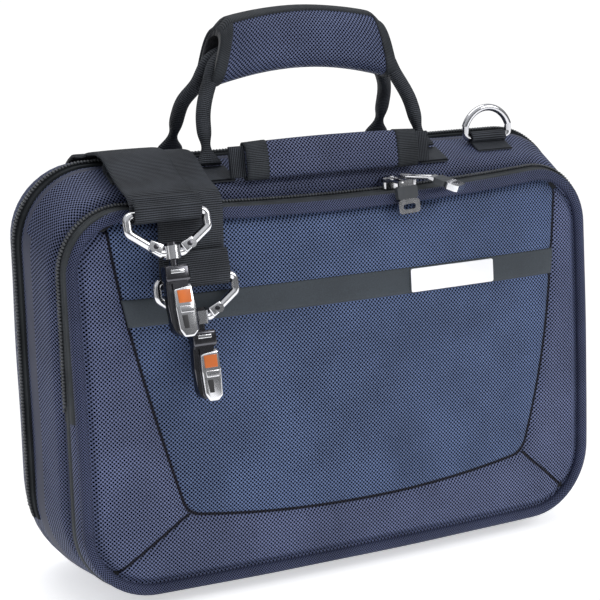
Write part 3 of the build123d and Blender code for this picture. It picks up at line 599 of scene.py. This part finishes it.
def front_y(x, z):
    """The dressed front: bulge, seams pulled in, panels slightly full, and a dip beside the piping."""
    centre, mitre = panel_seams(x, z)
    y = dome_y(x, z)
    seam = np.exp(-(centre / 2.3) ** 2)
    outside = ease(0, 6, centre)
    seam = np.maximum(seam, np.exp(-(mitre / 2.0) ** 2) * outside * ease(60, 50, z))
    edge = edge_in(x, z)
    y = y + 1.5 * seam + 3.0 * np.exp(-((edge - 7.2) / 2.0) ** 2)
    full = (1 - np.exp(-np.abs(centre) / 9)) * (1 - np.exp(-np.clip(edge, 0, None) / 9))
    y = y - 0.9 * full * np.where(centre > 0, 1.0, 0.5)
    for level in BAND_Z:
        y = y + 0.6 * np.exp(-((z - level) / 1.8) ** 2) * (1 - outside)
    spot = np.stack([x, y, z], -1)
    return y + 0.35 * ripple(spot, 80, 11) * ease(4, 20, edge)


def pocket_front():
    made = Piece("pocket_front_panels")
    rows, columns, inset, thick = 120, 176, 1.2, 3.0
    # the rows lie closer together towards the top and the foot
    t = 0.5 - 0.5 * np.cos(np.linspace(0.12, math.pi - 0.12, rows))
    t = 0.35 * (t - t[0]) / (t[-1] - t[0]) + 0.65 * np.linspace(0, 1, rows)
    flat_z = POCKET_FOOT + inset + t * (POCKET_H - 2 * inset)
    half = np.full(rows, POCKET_W / 2 - inset)
    for r, centre, sign in POCKET_CORNERS:
        past = np.clip(sign * (flat_z - centre), 0, r - inset)
        half = np.where(past > 0, POCKET_W / 2 - r + np.sqrt((r - inset) ** 2 - past ** 2), half)
    x = half[:, None] * np.linspace(-1, 1, columns)
    z = np.repeat(flat_z[:, None], columns, 1)
    z = z - sag(x, z)
    front = np.stack([x, front_y(x, z), z], -1)
    back = np.stack([x, dome_y(x, z) + thick, z], -1)
    uv = front[..., [0, 2]]
    made.grid(front, uv)
    made.grid(back[:, ::-1], uv[:, ::-1], 1)
    for edge in (np.s_[0], np.s_[-1], np.s_[:, 0], np.s_[:, -1]):
        strip = np.stack([front[edge], back[edge]])
        made.grid(strip, strip[..., [0, 2]], 1)
    piece = made.done([navy_front, plush])
    x, _, z = np.array([v.co for v in piece.data.vertices]).T / MM
    centre, mitre = panel_seams(x, z)
    mitre = np.where((centre > -0.5) & (z < FOOT_Z + 2), mitre, 50.0)
    for name, values in (("seam", centre), ("mitre", mitre)):
        layer = piece.data.attributes.new(name, "FLOAT", "POINT")
        layer.data.foreach_set("value", (values * MM).astype(np.float32))
    return piece


def over_fold(piece, nodes):
    """Pocket fabric across the fold, from the lid below to the flap above, in place of its nodes."""
    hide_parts(*nodes)
    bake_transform(piece)


over_fold(pocket_front(), ["pocket_panel_" + part for part in (
    "centre_lower", "centre_upper", "left_lower", "left_upper", "right_lower", "right_upper", "foot")])


def welt():
    """Piping round the pocket front: a covered cord with its seam allowance showing as a low ridge."""
    made = Piece("pocket_piping_cord")
    cord_r = 3.05
    loop = pocket_loop(-3.4, (70, 16, 50))
    line = ring3(loop, dome_y(*loop.T) + 0.45)
    ahead = np.roll(loop, -1, 0) - np.roll(loop, 1, 0)
    ahead[0] = ahead[-1] = loop[1] - loop[-2]
    out = unit(np.stack([ahead[:, 1], np.zeros(len(loop)), -ahead[:, 0]], 1))
    run = arc_length(line)
    radius = (cord_r * (1 + 0.03 * np.sin(run / 17.0) * np.sin(run / 41.0)))[:, None]
    turn = np.radians(np.linspace(0, 360, 21))
    points = []
    for a in turn:
        wide = math.cos(a) * (1.06 if math.cos(a) > 0 else 1.0)
        points.append(line + out * radius * wide + np.array([0, 1, 0]) * radius * math.sin(a))
    made.grid(np.array(points), cloth_uv(run, turn * cord_r))
    return made.done([navy_fine])


over_fold(welt(), ["pocket_piping_lower", "pocket_piping_upper"])


ZIP_LOOP = (60, 14, 44)  # steps along each straight run, corner and side of the bands at the zip


def pocket_wall(name, stations, materials, is_tape=False, thick=2.0):
    """Band round the pocket outline through stations (grow, y or function of x and z)."""
    def ring(grow, depth):
        loop = pocket_loop(grow, ZIP_LOOP)
        return ring3(loop, depth(*loop.T) if callable(depth) else depth)

    made = Piece(name)
    outer = [ring(grow, depth) for grow, depth in stations]
    inner = [ring(grow - thick, depth) for grow, depth in stations]
    points = np.array(outer + inner[::-1] + outer[:1])
    run = arc_length(points[0])
    uv = cloth_uv(run, arc_length(points[:, len(run) // 2]))
    made.grid(points, uv[..., ::-1] if is_tape else uv,
              [0] * (len(stations) - 1) + [1] * (len(points) - len(stations)))
    return made.done(materials)


# the fabric beside the zip is black tape, as far down as the zip runs
gusset = pocket_wall("pocket_gusset_fabric", [(0.45, -46.4), (0.2, -48.5), (-0.5, -51.0),
                                              (-1.6, lambda x, z: dome_y(x, z) + 2.6)], [navy_painted_shade, plush, tape])
redress(gusset, 0, 2, lambda middle: middle.z > FOLD_Z * MM)
over_fold(gusset, ["pocket_gusset_lower", "pocket_gusset_upper"])
zip_front = pocket_wall("pocket_zip_tape_front", [(1.2, -43.15), (0.9, -44.6), (0.45, -46.5)], [tape, plush], True)
over_fold(zip_front, ["pocket_zip_front"])
zip_back = pocket_wall("pocket_zip_back_fabric", [(-0.5, -37.8), (0.4, -39.4), (1.1, -41.2), (1.2, -42.85)],
                       [navy_fine, plush, tape])
redress(zip_back, 0, 2, lambda middle: middle.y < -40.5 * MM and middle.z > FOLD_Z * MM)
carried(zip_back, "lid", ["pocket_zip_back"])


# ---- zip teeth
def tooth_tree():
    """Node group that sets a row of coil turns along a line of edges, each lying across the zip."""
    tree = bpy.data.node_groups.new("zip_teeth", "GeometryNodeTree")
    for name, way, kind in (("Geometry", "IN", "Geometry"), ("Pitch", "IN", "Float"), ("Radius", "IN", "Float"),
                            ("Length", "IN", "Float"), ("Finish", "IN", "Material"), ("Geometry", "OUT", "Geometry")):
        tree.interface.new_socket(name, in_out=way + "PUT", socket_type="NodeSocket" + kind)

    def node(kind, settings=None, **inputs):
        return wired(tree, "GeometryNode" + kind, settings, **inputs)[0]

    given = wired(tree, "NodeGroupInput")
    line = node("MeshToCurve", Mesh=given["Geometry"])
    spaced = node("ResampleCurve", {"mode": "LENGTH"}, Curve=line, Length=given["Pitch"])
    coil = node("MeshCylinder", Vertices=8, Radius=given["Radius"], Depth=given["Length"])
    turn = wired(tree, "FunctionNodeAxesToRotation", {"primary_axis": "Z", "secondary_axis": "X"},
                 Primary_Axis=(0, 1, 0), Secondary_Axis=node("InputTangent"))
    row = node("InstanceOnPoints", Points=spaced, Instance=node("SetShadeSmooth", Geometry=coil), Rotation=turn[0])
    done = node("SetMaterial", Geometry=node("RealizeInstances", Geometry=row), Material=given["Finish"])
    wired(tree, "NodeGroupOutput", Geometry=done)
    return tree


TEETH = tooth_tree()


def teeth(name, points, body, radius, length, offset=0.0):
    """Row of coil turns along points, made real as a plain mesh on its body."""
    points = points[arc_length(points) >= offset]
    wire = bpy.data.meshes.new(name + "_line")
    wire.from_pydata([tuple(p * MM) for p in points], [(i, i + 1) for i in range(len(points) - 1)], [])
    holder = placed(name + "_line", wire)
    maker = holder.modifiers.new("teeth", "NODES")
    maker.node_group = TEETH
    given = {item.name: item.identifier for item in TEETH.interface.items_tree if item.in_out == "INPUT"}
    values = {"Pitch": TOOTH_PITCH * MM, "Radius": radius * MM, "Length": length * MM, "Finish": coil_nylon}
    for label, value in values.items():
        maker[given[label]] = value
    bpy.context.view_layer.update()
    solid = bpy.data.meshes.new_from_object(holder.evaluated_get(bpy.context.evaluated_depsgraph_get()))
    bpy.data.objects.remove(holder)
    solid.name = name
    carried(placed(name, solid), body)


def trimmed(points, level):
    """The part of a closed loop above a level, as one open run from left to right."""
    start = int(np.argmin(points[:, 2]))
    loop = np.roll(points[:-1], -start, 0)
    return loop[loop[:, 2] > level][::-1]


TOOTH_PITCH = 1.9
main_line = outline(CASE_W + 5.4, CASE_H + 2.7, 0.0, TOP_R + 2.7, FOOT_R + 2.7, (40, 20, 40))
pocket_line = pocket_loop(1.9, ZIP_LOOP)
for name, body, line, y, end_z, radius, length, offset in (
        ("main_zip_teeth_lid", "lid", main_line, -1.0, 45.0, 0.62, 1.7, 0.0),
        ("main_zip_teeth_rear", "rear_half", main_line, 1.0, 45.0, 0.62, 1.7, TOOTH_PITCH / 2),
        ("pocket_zip_teeth_back", "lid", pocket_line, -42.3, FOLD_Z + 4, 0.66, 1.5, 0.0),
        ("pocket_zip_teeth_front", "pocket_flap", pocket_line, -44.1, FOLD_Z + 4, 0.66, 1.5, TOOTH_PITCH / 2)):
    teeth(name, trimmed(ring3(line, y), end_z), body, radius, length, offset)


def smooth_band():
    """Smooth tape sewn across the centre panel, seam to seam."""
    low, high = BAND_Z
    levels = np.array([low, low + 0.5, *np.linspace(low + 2, high - 2, 5), high - 0.5, high])
    lift = 0.8 * np.array([0.15, 0.7, 0.85, 0.9, 0.9, 0.9, 0.85, 0.7, 0.15])
    left, right = (side * (seam_at(side, levels) + 0.2)[:, None] for side in (-1, 1))
    x = left + (right - left) * np.linspace(0, 1, 120)
    z = np.repeat(levels[:, None], x.shape[1], 1)
    under = front_y(x, z)
    top = np.stack([x, dome_y(x, z) * 0.5 + under * 0.5 - lift[:, None], z], -1)
    back = np.stack([x, under + 0.4, z], -1)
    points = np.concatenate([top, back[::-1], top[:1]])
    return tube("pocket_band_tape", points, points[..., [0, 2]], [0, 2], band_cloth)


carried(smooth_band(), "pocket_flap", ["pocket_band"])


# ---- webbing
def ribbon(name, path, width, thickness, stations, crown=0.25, across=(1.0, 0, 0)):
    """Flat webbing along path (x, y, z), with its width along across and a full middle."""
    line = smooth_path(path, stations)
    along = unit(np.gradient(line, axis=0))
    side = np.tile(across, (stations, 1))
    side = unit(side - along * np.sum(side * along, 1, keepdims=True))
    up = np.cross(side, along)
    spread = np.array([-1, -0.985, -0.9, -0.6, -0.25, 0, 0.25, 0.6, 0.9, 0.985, 1])
    full = np.array([0.35, 0.85, 1, 1, 1, 1, 1, 1, 1, 0.85, 0.35])
    section = [*zip(spread, full), *zip(spread[::-1], -full[::-1]), (spread[0], full[0])]
    points = np.array([line + side * (width / 2 * s) + up * (thickness / 2 * k + crown * (1 - s * s))
                       for s, k in section])
    return tube(name, points, cloth_uv(arc_length(line), arc_length(points[:, 0]))[..., ::-1], [0, 1], webbing)


def at_x(x, pairs):
    return [(x, y, z) for y, z in pairs]


lid_low = [(-36.5, 233.65), (-27.5, 239.4), (-19.0, 243.0), (-9.0, 243.45), (-0.15, 242.45)]
lid_high = [(-36.5, 235.8), (-27.5, 241.5), (-19.0, 245.15), (-9.0, 245.6), (-0.15, 244.6)]
lower_bar, upper_bar = (-60.89, 181.0), (-63.976, 218.0)


def hooked_end(bar, rise=15.0):
    """Run behind the hook's bar, round it and back up the front, where it is sewn down."""
    y, z = bar
    r = 3.75
    turn = [(y + r * math.cos(a), z - r * math.sin(a)) for a in np.radians([180, 144, 108, 72, 36, 0])]
    return [(y - 0.2, z + rise), (y - 2.0, z + rise * 0.62), (y - r, z + 4), *turn, (y + r, z + 4)]


front_low = [*hooked_end(lower_bar), (-57.3, 195.0), (-57.6, 210.0), (-57.5, 219.5), (-53.95, 225.2), (-48.6, 227.8),
             (-42.65, 230.25)]
front_high = [*hooked_end(upper_bar, 9.5), (-59.9, 223.4), (-55.9, 227.3), (-49.5, 229.6), (-42.65, 232.4)]


def draped(path, steps):
    length = arc_length(smooth_path(path, steps))[-1]


def strap_over_pocket(name, x, run, nodes):
    """Strap from the hook over the pocket's zip to the main zip, in place of its nodes."""
    path = at_x(x, run)
    strap = ribbon(name, path, STRAP_W, STRAP_T, 110)
    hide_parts(*nodes)
    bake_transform(strap)
    draped(path, 240)


strap_over_pocket("strap_lower_layer", LOWER_X, front_low + lid_low, ["strap_front_lower", "strap_lid_lower"])
strap_over_pocket("strap_upper_layer", UPPER_X, front_high + lid_high, ["strap_front_upper", "strap_lid_upper"])

rear_run = [(0.15, 242.45), (9.0, 240.25), (22.18, 239.17), (34.19, 235.84), (44.29, 227.67), (50.19, 216.09),
            (51.25, 205.0), (51.25, 160.0), (51.25, 119.0), (51.25, 92.0), (52.78, 87.3), (56.78, 84.39),
            (61.72, 84.39), (65.72, 87.3), (66.8, 94.0), (62.0, 112.0), (58.0, 130.0), (57.9, 150.0), (57.9, 170.0),
            (55.4, 192.0), (53.35, 207.0), (49.76, 223.16), (41.02, 233.96), (28.64, 240.26), (22.33, 241.5),
            (9.0, 242.4), (0.15, 244.6)]
rear_share = arc_length(np.array(rear_run))
rear_share /= rear_share[-1]
rear_path = [(LOWER_X + (UPPER_X - LOWER_X) * share, y, z) for share, (y, z) in zip(rear_share, rear_run)]
rear_strap = ribbon("strap_behind", rear_path, STRAP_W, STRAP_T, 150)
carried(rear_strap, "rear_half", ["strap_rear"])
draped(rear_path, 300)


# ---- carry handle
def leg_route(pivot, web_y):
    y0, z0 = pivot
    lean = web_y - y0
    bend = GRIP_LEN / 2 - 4
    leg = [(LEG_X, y0, z0), (LEG_X - 0.4, y0 + lean * 0.22, z0 + 10), (LEG_X - 2.2, y0 + lean * 0.56, z0 + 27),
           (bend + 8.5, y0 + lean * 0.86, GRIP_Z - GRIP_RISE - 14), (bend, web_y, GRIP_Z - 8.5),
           (bend - 22, web_y, GRIP_Z - 2.2)]
    return [(-x, y, z) for x, y, z in leg] + [(0, web_y, GRIP_Z - 0.6)] + leg[::-1]


def handle_webbing(name, pivot, web_y, body, node):
    """Webbing rolled to a rope in the grip and legs, pinched above each foot and flat at the roll."""
    line = smooth_path(leg_route(pivot, web_y), 220)
    run = arc_length(line)
    end = np.minimum(run, run[-1] - run)
    along = unit(np.gradient(line, axis=0))
    flat = unit(np.cross(along, [0, 1.0, 0.0]))
    deep = np.cross(flat, along)
    wide = 8.3 - 3.3 * np.exp(-((end - 11) / 5.0) ** 2) + 7.6 * np.exp(-(end / 4.6) ** 2)
    thick = 7.4 - 2.2 * np.exp(-((end - 9) / 6.0) ** 2) - 1.6 * np.exp(-(end / 4.0) ** 2)
    turn = np.radians(np.linspace(0, 360, 29))
    points = []
    for a in turn:
        pinch = 1 - 0.10 * math.exp(-((math.degrees(a) - 90) / 11) ** 2)
        across = blunt(math.cos(a), 0.85) * wide / 2
        out = blunt(math.sin(a), 0.85) * thick / 2 * pinch
        points.append(line + flat * across[:, None] + deep * out[:, None])
    rope_r = 4.0
    rope = tube(name, np.array(points), cloth_uv(run, turn * rope_r)[..., ::-1], [0, 1], webbing)
    carried(rope, body, [node])


handle_webbing("handle_webbing_front", FRONT_PIVOT, -4.9, "front_handle", "handle_loop_front")
handle_webbing("handle_webbing_rear", REAR_PIVOT, 4.9, "rear_handle", "handle_loop_rear")


def grip_centre(x):
    return GRIP_Z - GRIP_RISE * (x / (GRIP_LEN / 2)) ** 2


def cuff(made, tube, side, count, middle, over, under, past, row, down):
    """Binding round one end of a padded tube (rows along it), standing over, under and past its cloth.
    middle is the tube's centre line and row the one that the binding's width is measured on."""
    cols = slice(0, count) if side < 0 else slice(-count, None)
    base = tube[:, cols]
    push = base - middle[cols]
    push[..., 0] = 0
    push /= np.maximum(np.linalg.norm(push, axis=-1, keepdims=True), 1e-6)
    top, low = base + push * over, base - push * under
    for layer in (top, low):
        layer[:, 0 if side < 0 else -1, 0] += side * past
    block = np.concatenate([top, low[:, ::-1], top[:, :1]], axis=1)
    made.grid(block, cloth_uv(arc_length(block[row]), down))
    return block


def grip_half(name, side, body, node):
    """Padded half of the wrap, full in the middle, its open edge at the zip plane."""
    made = Piece(name)
    stations, gap = 72, 0.15
    s = np.linspace(-1, 1, stations)
    x0 = s * GRIP_LEN / 2
    far = np.abs(s)
    tilt = np.arctan(-2 * GRIP_RISE * s / (GRIP_LEN / 2))
    half_y, half_z = 13.6, 17.8

    def surface(shrink):
        rows = []
        for a in np.radians(np.linspace(90, 270, 33)):
            n = math.sin(a)
            y = abs(math.cos(a)) ** 0.72 * (half_y - shrink) * (1 - 0.10 * far ** 6)
            z = blunt(n, 0.72) * (half_z - shrink) * (1 - 0.05 * far ** 8)
            z = z + (1.6 * (1 - s ** 2) if n < -0.2 else 0) * abs(n)
            z = z + max(n, 0) * (1.0 + 4.6 * far ** 2.5 - 4.5 * ease(0.86, 1.0, far) ** 2)
            x = x0 + np.sin(tilt) * z * 0.9
            rows.append(np.stack([x, side * (y + gap), grip_centre(x0) + z * np.cos(tilt)], 1))
        return np.array(rows)

    outer, inner = surface(0.0), surface(4.2)
    outer[..., 1] += 0.35 * ripple(outer, 34, 21 + side) * side * ease(0.5, 4, np.abs(outer[..., 1]))
    points = np.concatenate([outer, inner[::-1], outer[:1]])
    made.grid(points, cloth_uv(x0, arc_length(points[:, stations // 2])),
              [0] * (len(outer) - 1) + [1] * (len(points) - len(outer)))
    for j in (0, -1):
        strip = np.stack([outer[:, j], inner[:, j]])
        made.grid(strip, strip[..., [1, 2]], 1)
    grip = carried(made.done([navy_wrap_painted_shade, plush]), body, [node])

    binding = Piece(name + "_binding")
    middle = np.stack([x0, np.zeros(stations), grip_centre(x0)], 1)
    for hand, first in ((-1, 0), (1, -5)):
        block = cuff(binding, outer, hand, 5, middle, 0.6, 0.8, 0.7, 16, arc_length(outer[:, first]))
        binding.shut(block, [0, 2])
    edge = outer[:7]
    top, under = edge + np.array([0, side * 0.25, 0.8]), edge - np.array([0, 0, 0.6])
    block = np.concatenate([top, under[::-1], top[:1]])
    binding.grid(block, cloth_uv(x0, arc_length(block[:, stations // 2]))[..., ::-1])
    binding.shut(turned(block), [1, 2])
    carried(binding.done([grosgrain], merge=0.001), body)


grip_half("grip_wrap_front_padded", -1, "front_handle", "grip_wrap_front")
grip_half("grip_wrap_rear_padded", 1, "rear_handle", "grip_wrap_rear")


front_foot = [(-22.5, 234.2), (-27.5, 232.4), (-33.0, 230.2), (-36.6, 228.4)]
rear_foot = [(33.2, 236.9), (36.4, 235.0), (40.0, 232.2), (43.1, 229.2), (46.0, 225.5)]
for hand, x in (("left", -LEG_X), ("right", LEG_X)):
    for place, foot, width, body in (("front_", front_foot, 18.5, "lid"), ("rear_", rear_foot, 18.0, "rear_half")):
        patch = ribbon("handle_patch_" + place + hand, at_x(x, foot), width, 2.0, 14, crown=0.1)
        carried(patch, body, ["handle_foot_" + place + hand])


# ---- grab handle
def grab_handle():
    y0, z0, lean = -38.0, 238.05, 0.15
    half, height, deep, stations = 54, 10.2, 3.7, 60
    s = np.linspace(-1, 1, stations)
    x = half * s
    rows = []
    for a in np.radians(np.linspace(0, 360, 41)):
        n = math.sin(a)
        across = blunt(math.cos(a), 0.7) * deep * (1 + 0.10 * (1 - s ** 2))
        up = blunt(n, 0.6) * height * (1 - 0.03 * s ** 4) + 0.9 * (1 - s ** 2) * max(n, 0)
        rows.append(np.stack([x, y0 - across + up * lean, z0 + up], 1))
    points = np.array(rows)
    points[..., 1] += 0.25 * ripple(points, 26, 31)
    girth = arc_length(points[:, stations // 2])
    pad = tube("grab_handle_pad", points, cloth_uv(x, girth), [1, 2], navy_painted_shade)
    carried(pad, "lid", ["grab_pad"])
    for hand, side in (("left", -1), ("right", 1)):
        end = Piece("grab_handle_binding_" + hand)
        cuff(end, points, side, 8, points.mean(axis=0), 0.55, 0.9, 0.6, 10, girth)
        carried(end.done([grosgrain], merge=0.001), "lid")
    path = [(x, y0, z0) for x in (-63.5, -half, -30, 0, 30, half, 63.5)]
    belt = ribbon("grab_handle_webbing", path, 17.5, 1.6, stations, crown=0.0, across=(0, lean, 1.0))
    carried(belt, "lid", ["grab_webbing"])


grab_handle()


# ---- tabs that hold the D-rings
RING_X = 117.0


def ring_tab(hand, x):
    y, z, r = -19.0, 237.975, 2.95
    turn = [(y + r * math.cos(a), z + r * math.sin(a)) for a in np.radians(range(250, -31, -40))]
    run = [(-28.5, 230.9), (-25.0, 232.4), (-22.3, 233.9), *turn, (-17.9, 235.3)]
    tab = ribbon("d_ring_tab_webbing_" + hand, at_x(x, run), 24.0, 1.2, 40, crown=0.0)
    carried(tab, "lid", ["d_ring_tab_" + hand])


def tucked_ring():
    """The left D-ring lies flat under the strap, a little towards the middle of it."""
    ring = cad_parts["d_ring_left"].data.copy()
    shift, narrower = 6.6, 0.97
    for vertex in ring.vertices:
        vertex.co.x = (shift - RING_X) * MM + (vertex.co.x + RING_X * MM) * narrower
    carried(placed("d_ring_left_under_strap", ring), "left_ring", ["d_ring_left"])


tucked_ring()
ring_tab("left", -RING_X)
ring_tab("right", RING_X)


# ---- faces of the swivel hooks
def prism(name, corners, back, front, material, soft, place, turn=0.0, at=(0, 0)):
    """Plate with rounded edges: corners (x, z) in the hook's own frame, from one depth to another."""
    bm = bmesh.new()
    c, n = math.cos(math.radians(turn)), math.sin(math.radians(turn))
    ring = [(at[0] + x * c - z * n, at[1] + x * n + z * c) for x, z in corners]
    rows = [[bm.verts.new((x * MM, y * MM, z * MM)) for x, z in ring] for y in (back, front)]
    for i in range(len(ring)):
        j = (i + 1) % len(ring)
        bm.faces.new((rows[0][i], rows[0][j], rows[1][j], rows[1][i]))
    bm.faces.new(rows[0])
    bm.faces.new(rows[1])
    bmesh.ops.recalc_face_normals(bm, faces=bm.faces)
    bmesh.ops.bevel(bm, geom=bm.edges[:] + bm.verts[:], offset=soft * MM, segments=3, profile=0.6, affect="EDGES",
                    clamp_overlap=True)
    for face in bm.faces:
        face.smooth = True
    mesh = bpy.data.meshes.new(name)
    bm.to_mesh(mesh)
    bm.free()
    mesh.transform(place)
    mesh.materials.append(material)
    return placed(name, mesh)


# part, body, depth of its back and front, finish, rounding of its edges, corners
HOOK_FACES = (
    ("cap", "_hook", 3.9, -4.6, dark_chrome, 1.6, [(-6.7, -28), (6.7, -28), (6.9, -36.5), (-6.9, -36.5)]),
    ("cap_slot", "_hook", -4.2, -5.0, chrome, 0.5, [(-4.2, -30.2), (3.6, -30.2), (3.6, -32.2), (-4.2, -32.2)]),
    ("spine", "_hook", 2.6, -2.5, dark_chrome, 1.0,
     [(-6.8, -36), (-4.6, -36), (-3.0, -58), (-3.6, -63), (-6.6, -59), (-7.4, -48)]),
    ("thumb_face", "_hook_lever", -2.7, -5.6, chrome, 1.1,
     [(-4.2, -40.6), (6.2, -39.0), (6.8, -49), (6.2, -63.5), (3.6, -66.0), (-1.6, -66.0), (-3.8, -62), (-4.4, -50)]),
    ("thumb_panel", "_hook_lever", -5.3, -6.1, chrome, 0.5,
     [(-2.6, -49.6), (5.4, -49.6), (5.0, -53.2), (-2.2, -53.2)]),
    ("thumb_window", "_hook_lever", -5.3, -5.8, black_plastic, 0.3,
     [(-2.0, -54.4), (1.2, -54.4), (1.4, -61.4), (-1.4, -61.4)]),
    ("insert", "_hook_lever", -5.2, -6.0, orange, 0.5, [(-2.8, -41.2), (4.8, -41.2), (4.8, -48.0), (-2.6, -48.0)]),
)
RIVET = [(1.5 * math.cos(a), 1.5 * math.sin(a)) for a in np.radians(range(0, 360, 30))]


def hook_faces(tag, bar, lean):
    """Cap, spine, thumb face, insert and riveted lugs, over the plain solids of one hook."""
    place = Matrix.Translation(Vector(bar) * MM) @ Matrix.Rotation(math.radians(-lean), 4, "X")

    def add(part, body, back, front, finish, soft, corners, nodes=(), slot="dark_chrome", **where):
        face = prism("hook_" + part + "_" + tag, corners, back, front, finish, soft, place, **where)
        carried(face, tag + body, nodes)

    for row in HOOK_FACES:
        if row[0] == "insert":
            add(*row, nodes=["hook_pad_" + tag], slot="orange_insert")
        else:
            add(*row)
    for hand, side in (("left", -1), ("right", 1)):
        lug = [(-4.2, -3.0), (3.6, -2.6), (3.6, 2.6), (-4.2, 3.0)]
        lug = lug if side > 0 else [(-x, z) for x, z in (lug[1], lug[0], lug[3], lug[2])]
        at = (side * 9.6, -17.2)
        add("lug_" + hand, "_hook_loop", 2.8, -3.0, chrome, 0.8, lug, turn=side * 28, at=at)
        add("rivet_" + hand, "_hook_loop", -2.6, -3.5, dark_chrome, 0.3, RIVET, at=at)


hook_faces("upper", (UPPER_X, *upper_bar), 16)
hook_faces("lower", (LOWER_X, *lower_bar), 11)


# ---- lid pad
def quilted_pad():
    """Crowned pad inside the lid, sewn down round its edge."""
    made = Piece("lid_pad_quilted")
    width, height, foot, top_r, foot_r = 321, 208, 9, 37, 54
    profile = ((0, -32.6), (0, -27.5), (1.2, -25.9), (3.5, -25.2), (9, -24.9), (12, -25.5), (15, -24.9), (24, -24.2),
               (45, -23.8), (75, -23.6), (103.6, -23.6))
    points = np.array([ring3(outline(width - 2 * inset, height - 2 * inset, foot + inset, top_r - inset,
                                     foot_r - inset, (26, 10, 22)), y) for inset, y in profile])
    made.grid(points, points[..., [0, 2]])
    made.shut(points, [0, 2])
    pad = carried(made.done([plush]), "lid", ["lid_pad"])


quilted_pad()


# ---- floor, light and camera
def studio_floor():
    bpy.ops.mesh.primitive_plane_add(size=12, location=(0, 0, -0.0004))
    floor = bpy.context.object
    floor.name = "floor"
    f = Finish("pale_floor", (0.93, 0.93, 0.94), 0.8)
    f.mottle(f.noise(3.0), 0.3, 0.7, (0.925, 0.925, 0.935), (0.94, 0.94, 0.945))
    f.set(Emission_Color=(1, 1, 1, 1), Emission_Strength=0.55)
    # away from the case the floor gives way to the white backdrop, so that the opened lid is not hidden below it
    x, y, _ = f.axes("Object")
    past = [f.calc("MAXIMUM", f.calc("SUBTRACT", f.calc("ABSOLUTE", along), half), 0.0)
            for along, half in ((x, 0.175), (y, 0.06))]
    far = f.calc("SQRT", f.plus(f.times(past[0], past[0]), f.times(past[1], past[1])))
    f.set(Alpha=f.calc("SUBTRACT", 1.0, f.times(f.node("LightPath"), f.span(far, 0.0, 0.06))))
    floor.data.materials.append(f.material)


def backdrop():
    """Plain white to the camera, and a soft sky that grows brighter upwards to everything else."""
    world = bpy.data.worlds.new("studio")
    bpy.context.scene.world = world
    world.use_nodes = True
    tree = world.node_tree

    def node(kind, settings=None, **inputs):
        return wired(tree, "ShaderNode" + kind, settings, **inputs)

    horizon, zenith = 0.16, 0.75
    paper = tree.nodes["Background"]
    paper.inputs[0].default_value = (1, 1, 1, 1)
    paper.inputs[1].default_value = 1.05
    upwards = node("SeparateXYZ", i0=node("TexCoord")["Generated"])[2]
    sky = node("MapRange", SMOOTH, i0=upwards, i1=0.05, i2=0.75, i3=horizon, i4=zenith)
    around = node("Background", i0=(0.95, 0.97, 1, 1), i1=sky[0])
    choose = node("MixShader", i0=node("LightPath")["Is Camera Ray"], i1=around[0], i2=paper.outputs[0])
    tree.links.new(choose[0], tree.nodes["World Output"].inputs[0])
    bpy.context.scene.view_settings.view_transform = "Standard"


def lamp(name, place, aim, size, power):
    light = bpy.data.lights.new(name, "AREA")
    light.shape = "RECTANGLE"
    light.size, light.size_y = size
    light.energy = power
    holder = placed(name, light)
    holder.location = place
    holder.rotation_mode = "QUATERNION"
    holder.rotation_quaternion = (Vector(aim) - Vector(place)).to_track_quat("-Z", "Y")


def camera():
    """The view: a long lens from front left, a little above, with a slight roll."""
    yaw, pitch, roll = 0.47399, 0.20147, 0.02656
    focal, width = 1725.67, 600  # in pixels
    lens = bpy.data.cameras.new("camera")
    lens.sensor_width = 36.0
    lens.lens = lens.sensor_width * focal / width
    lens.clip_start, lens.clip_end = 0.05, 50
    eye = placed("camera", lens)
    eye.matrix_world = Matrix.Translation((-0.46021, -0.89176, 0.35257))
    for angle, axis in ((-yaw, "Z"), (math.pi / 2 - pitch, "X"), (-roll, "Z")):
        eye.matrix_world = eye.matrix_world @ Matrix.Rotation(angle, 4, axis)
    bpy.context.scene.camera = eye


studio_floor()
backdrop()
lamp("key_soft_box", (1.5, -1.7, 1.5), (0, 0, 0.10), (1.1, 1.1), 25)
lamp("left_soft_box", (-1.9, -0.9, 0.8), (0, 0, 0.12), (0.5, 1.2), 1.5)
lamp("top_strip", (0.0, 0.3, 1.8), (0, 0, 0.15), (1.6, 0.7), 12)
camera()

bpy.context.view_layer.update()
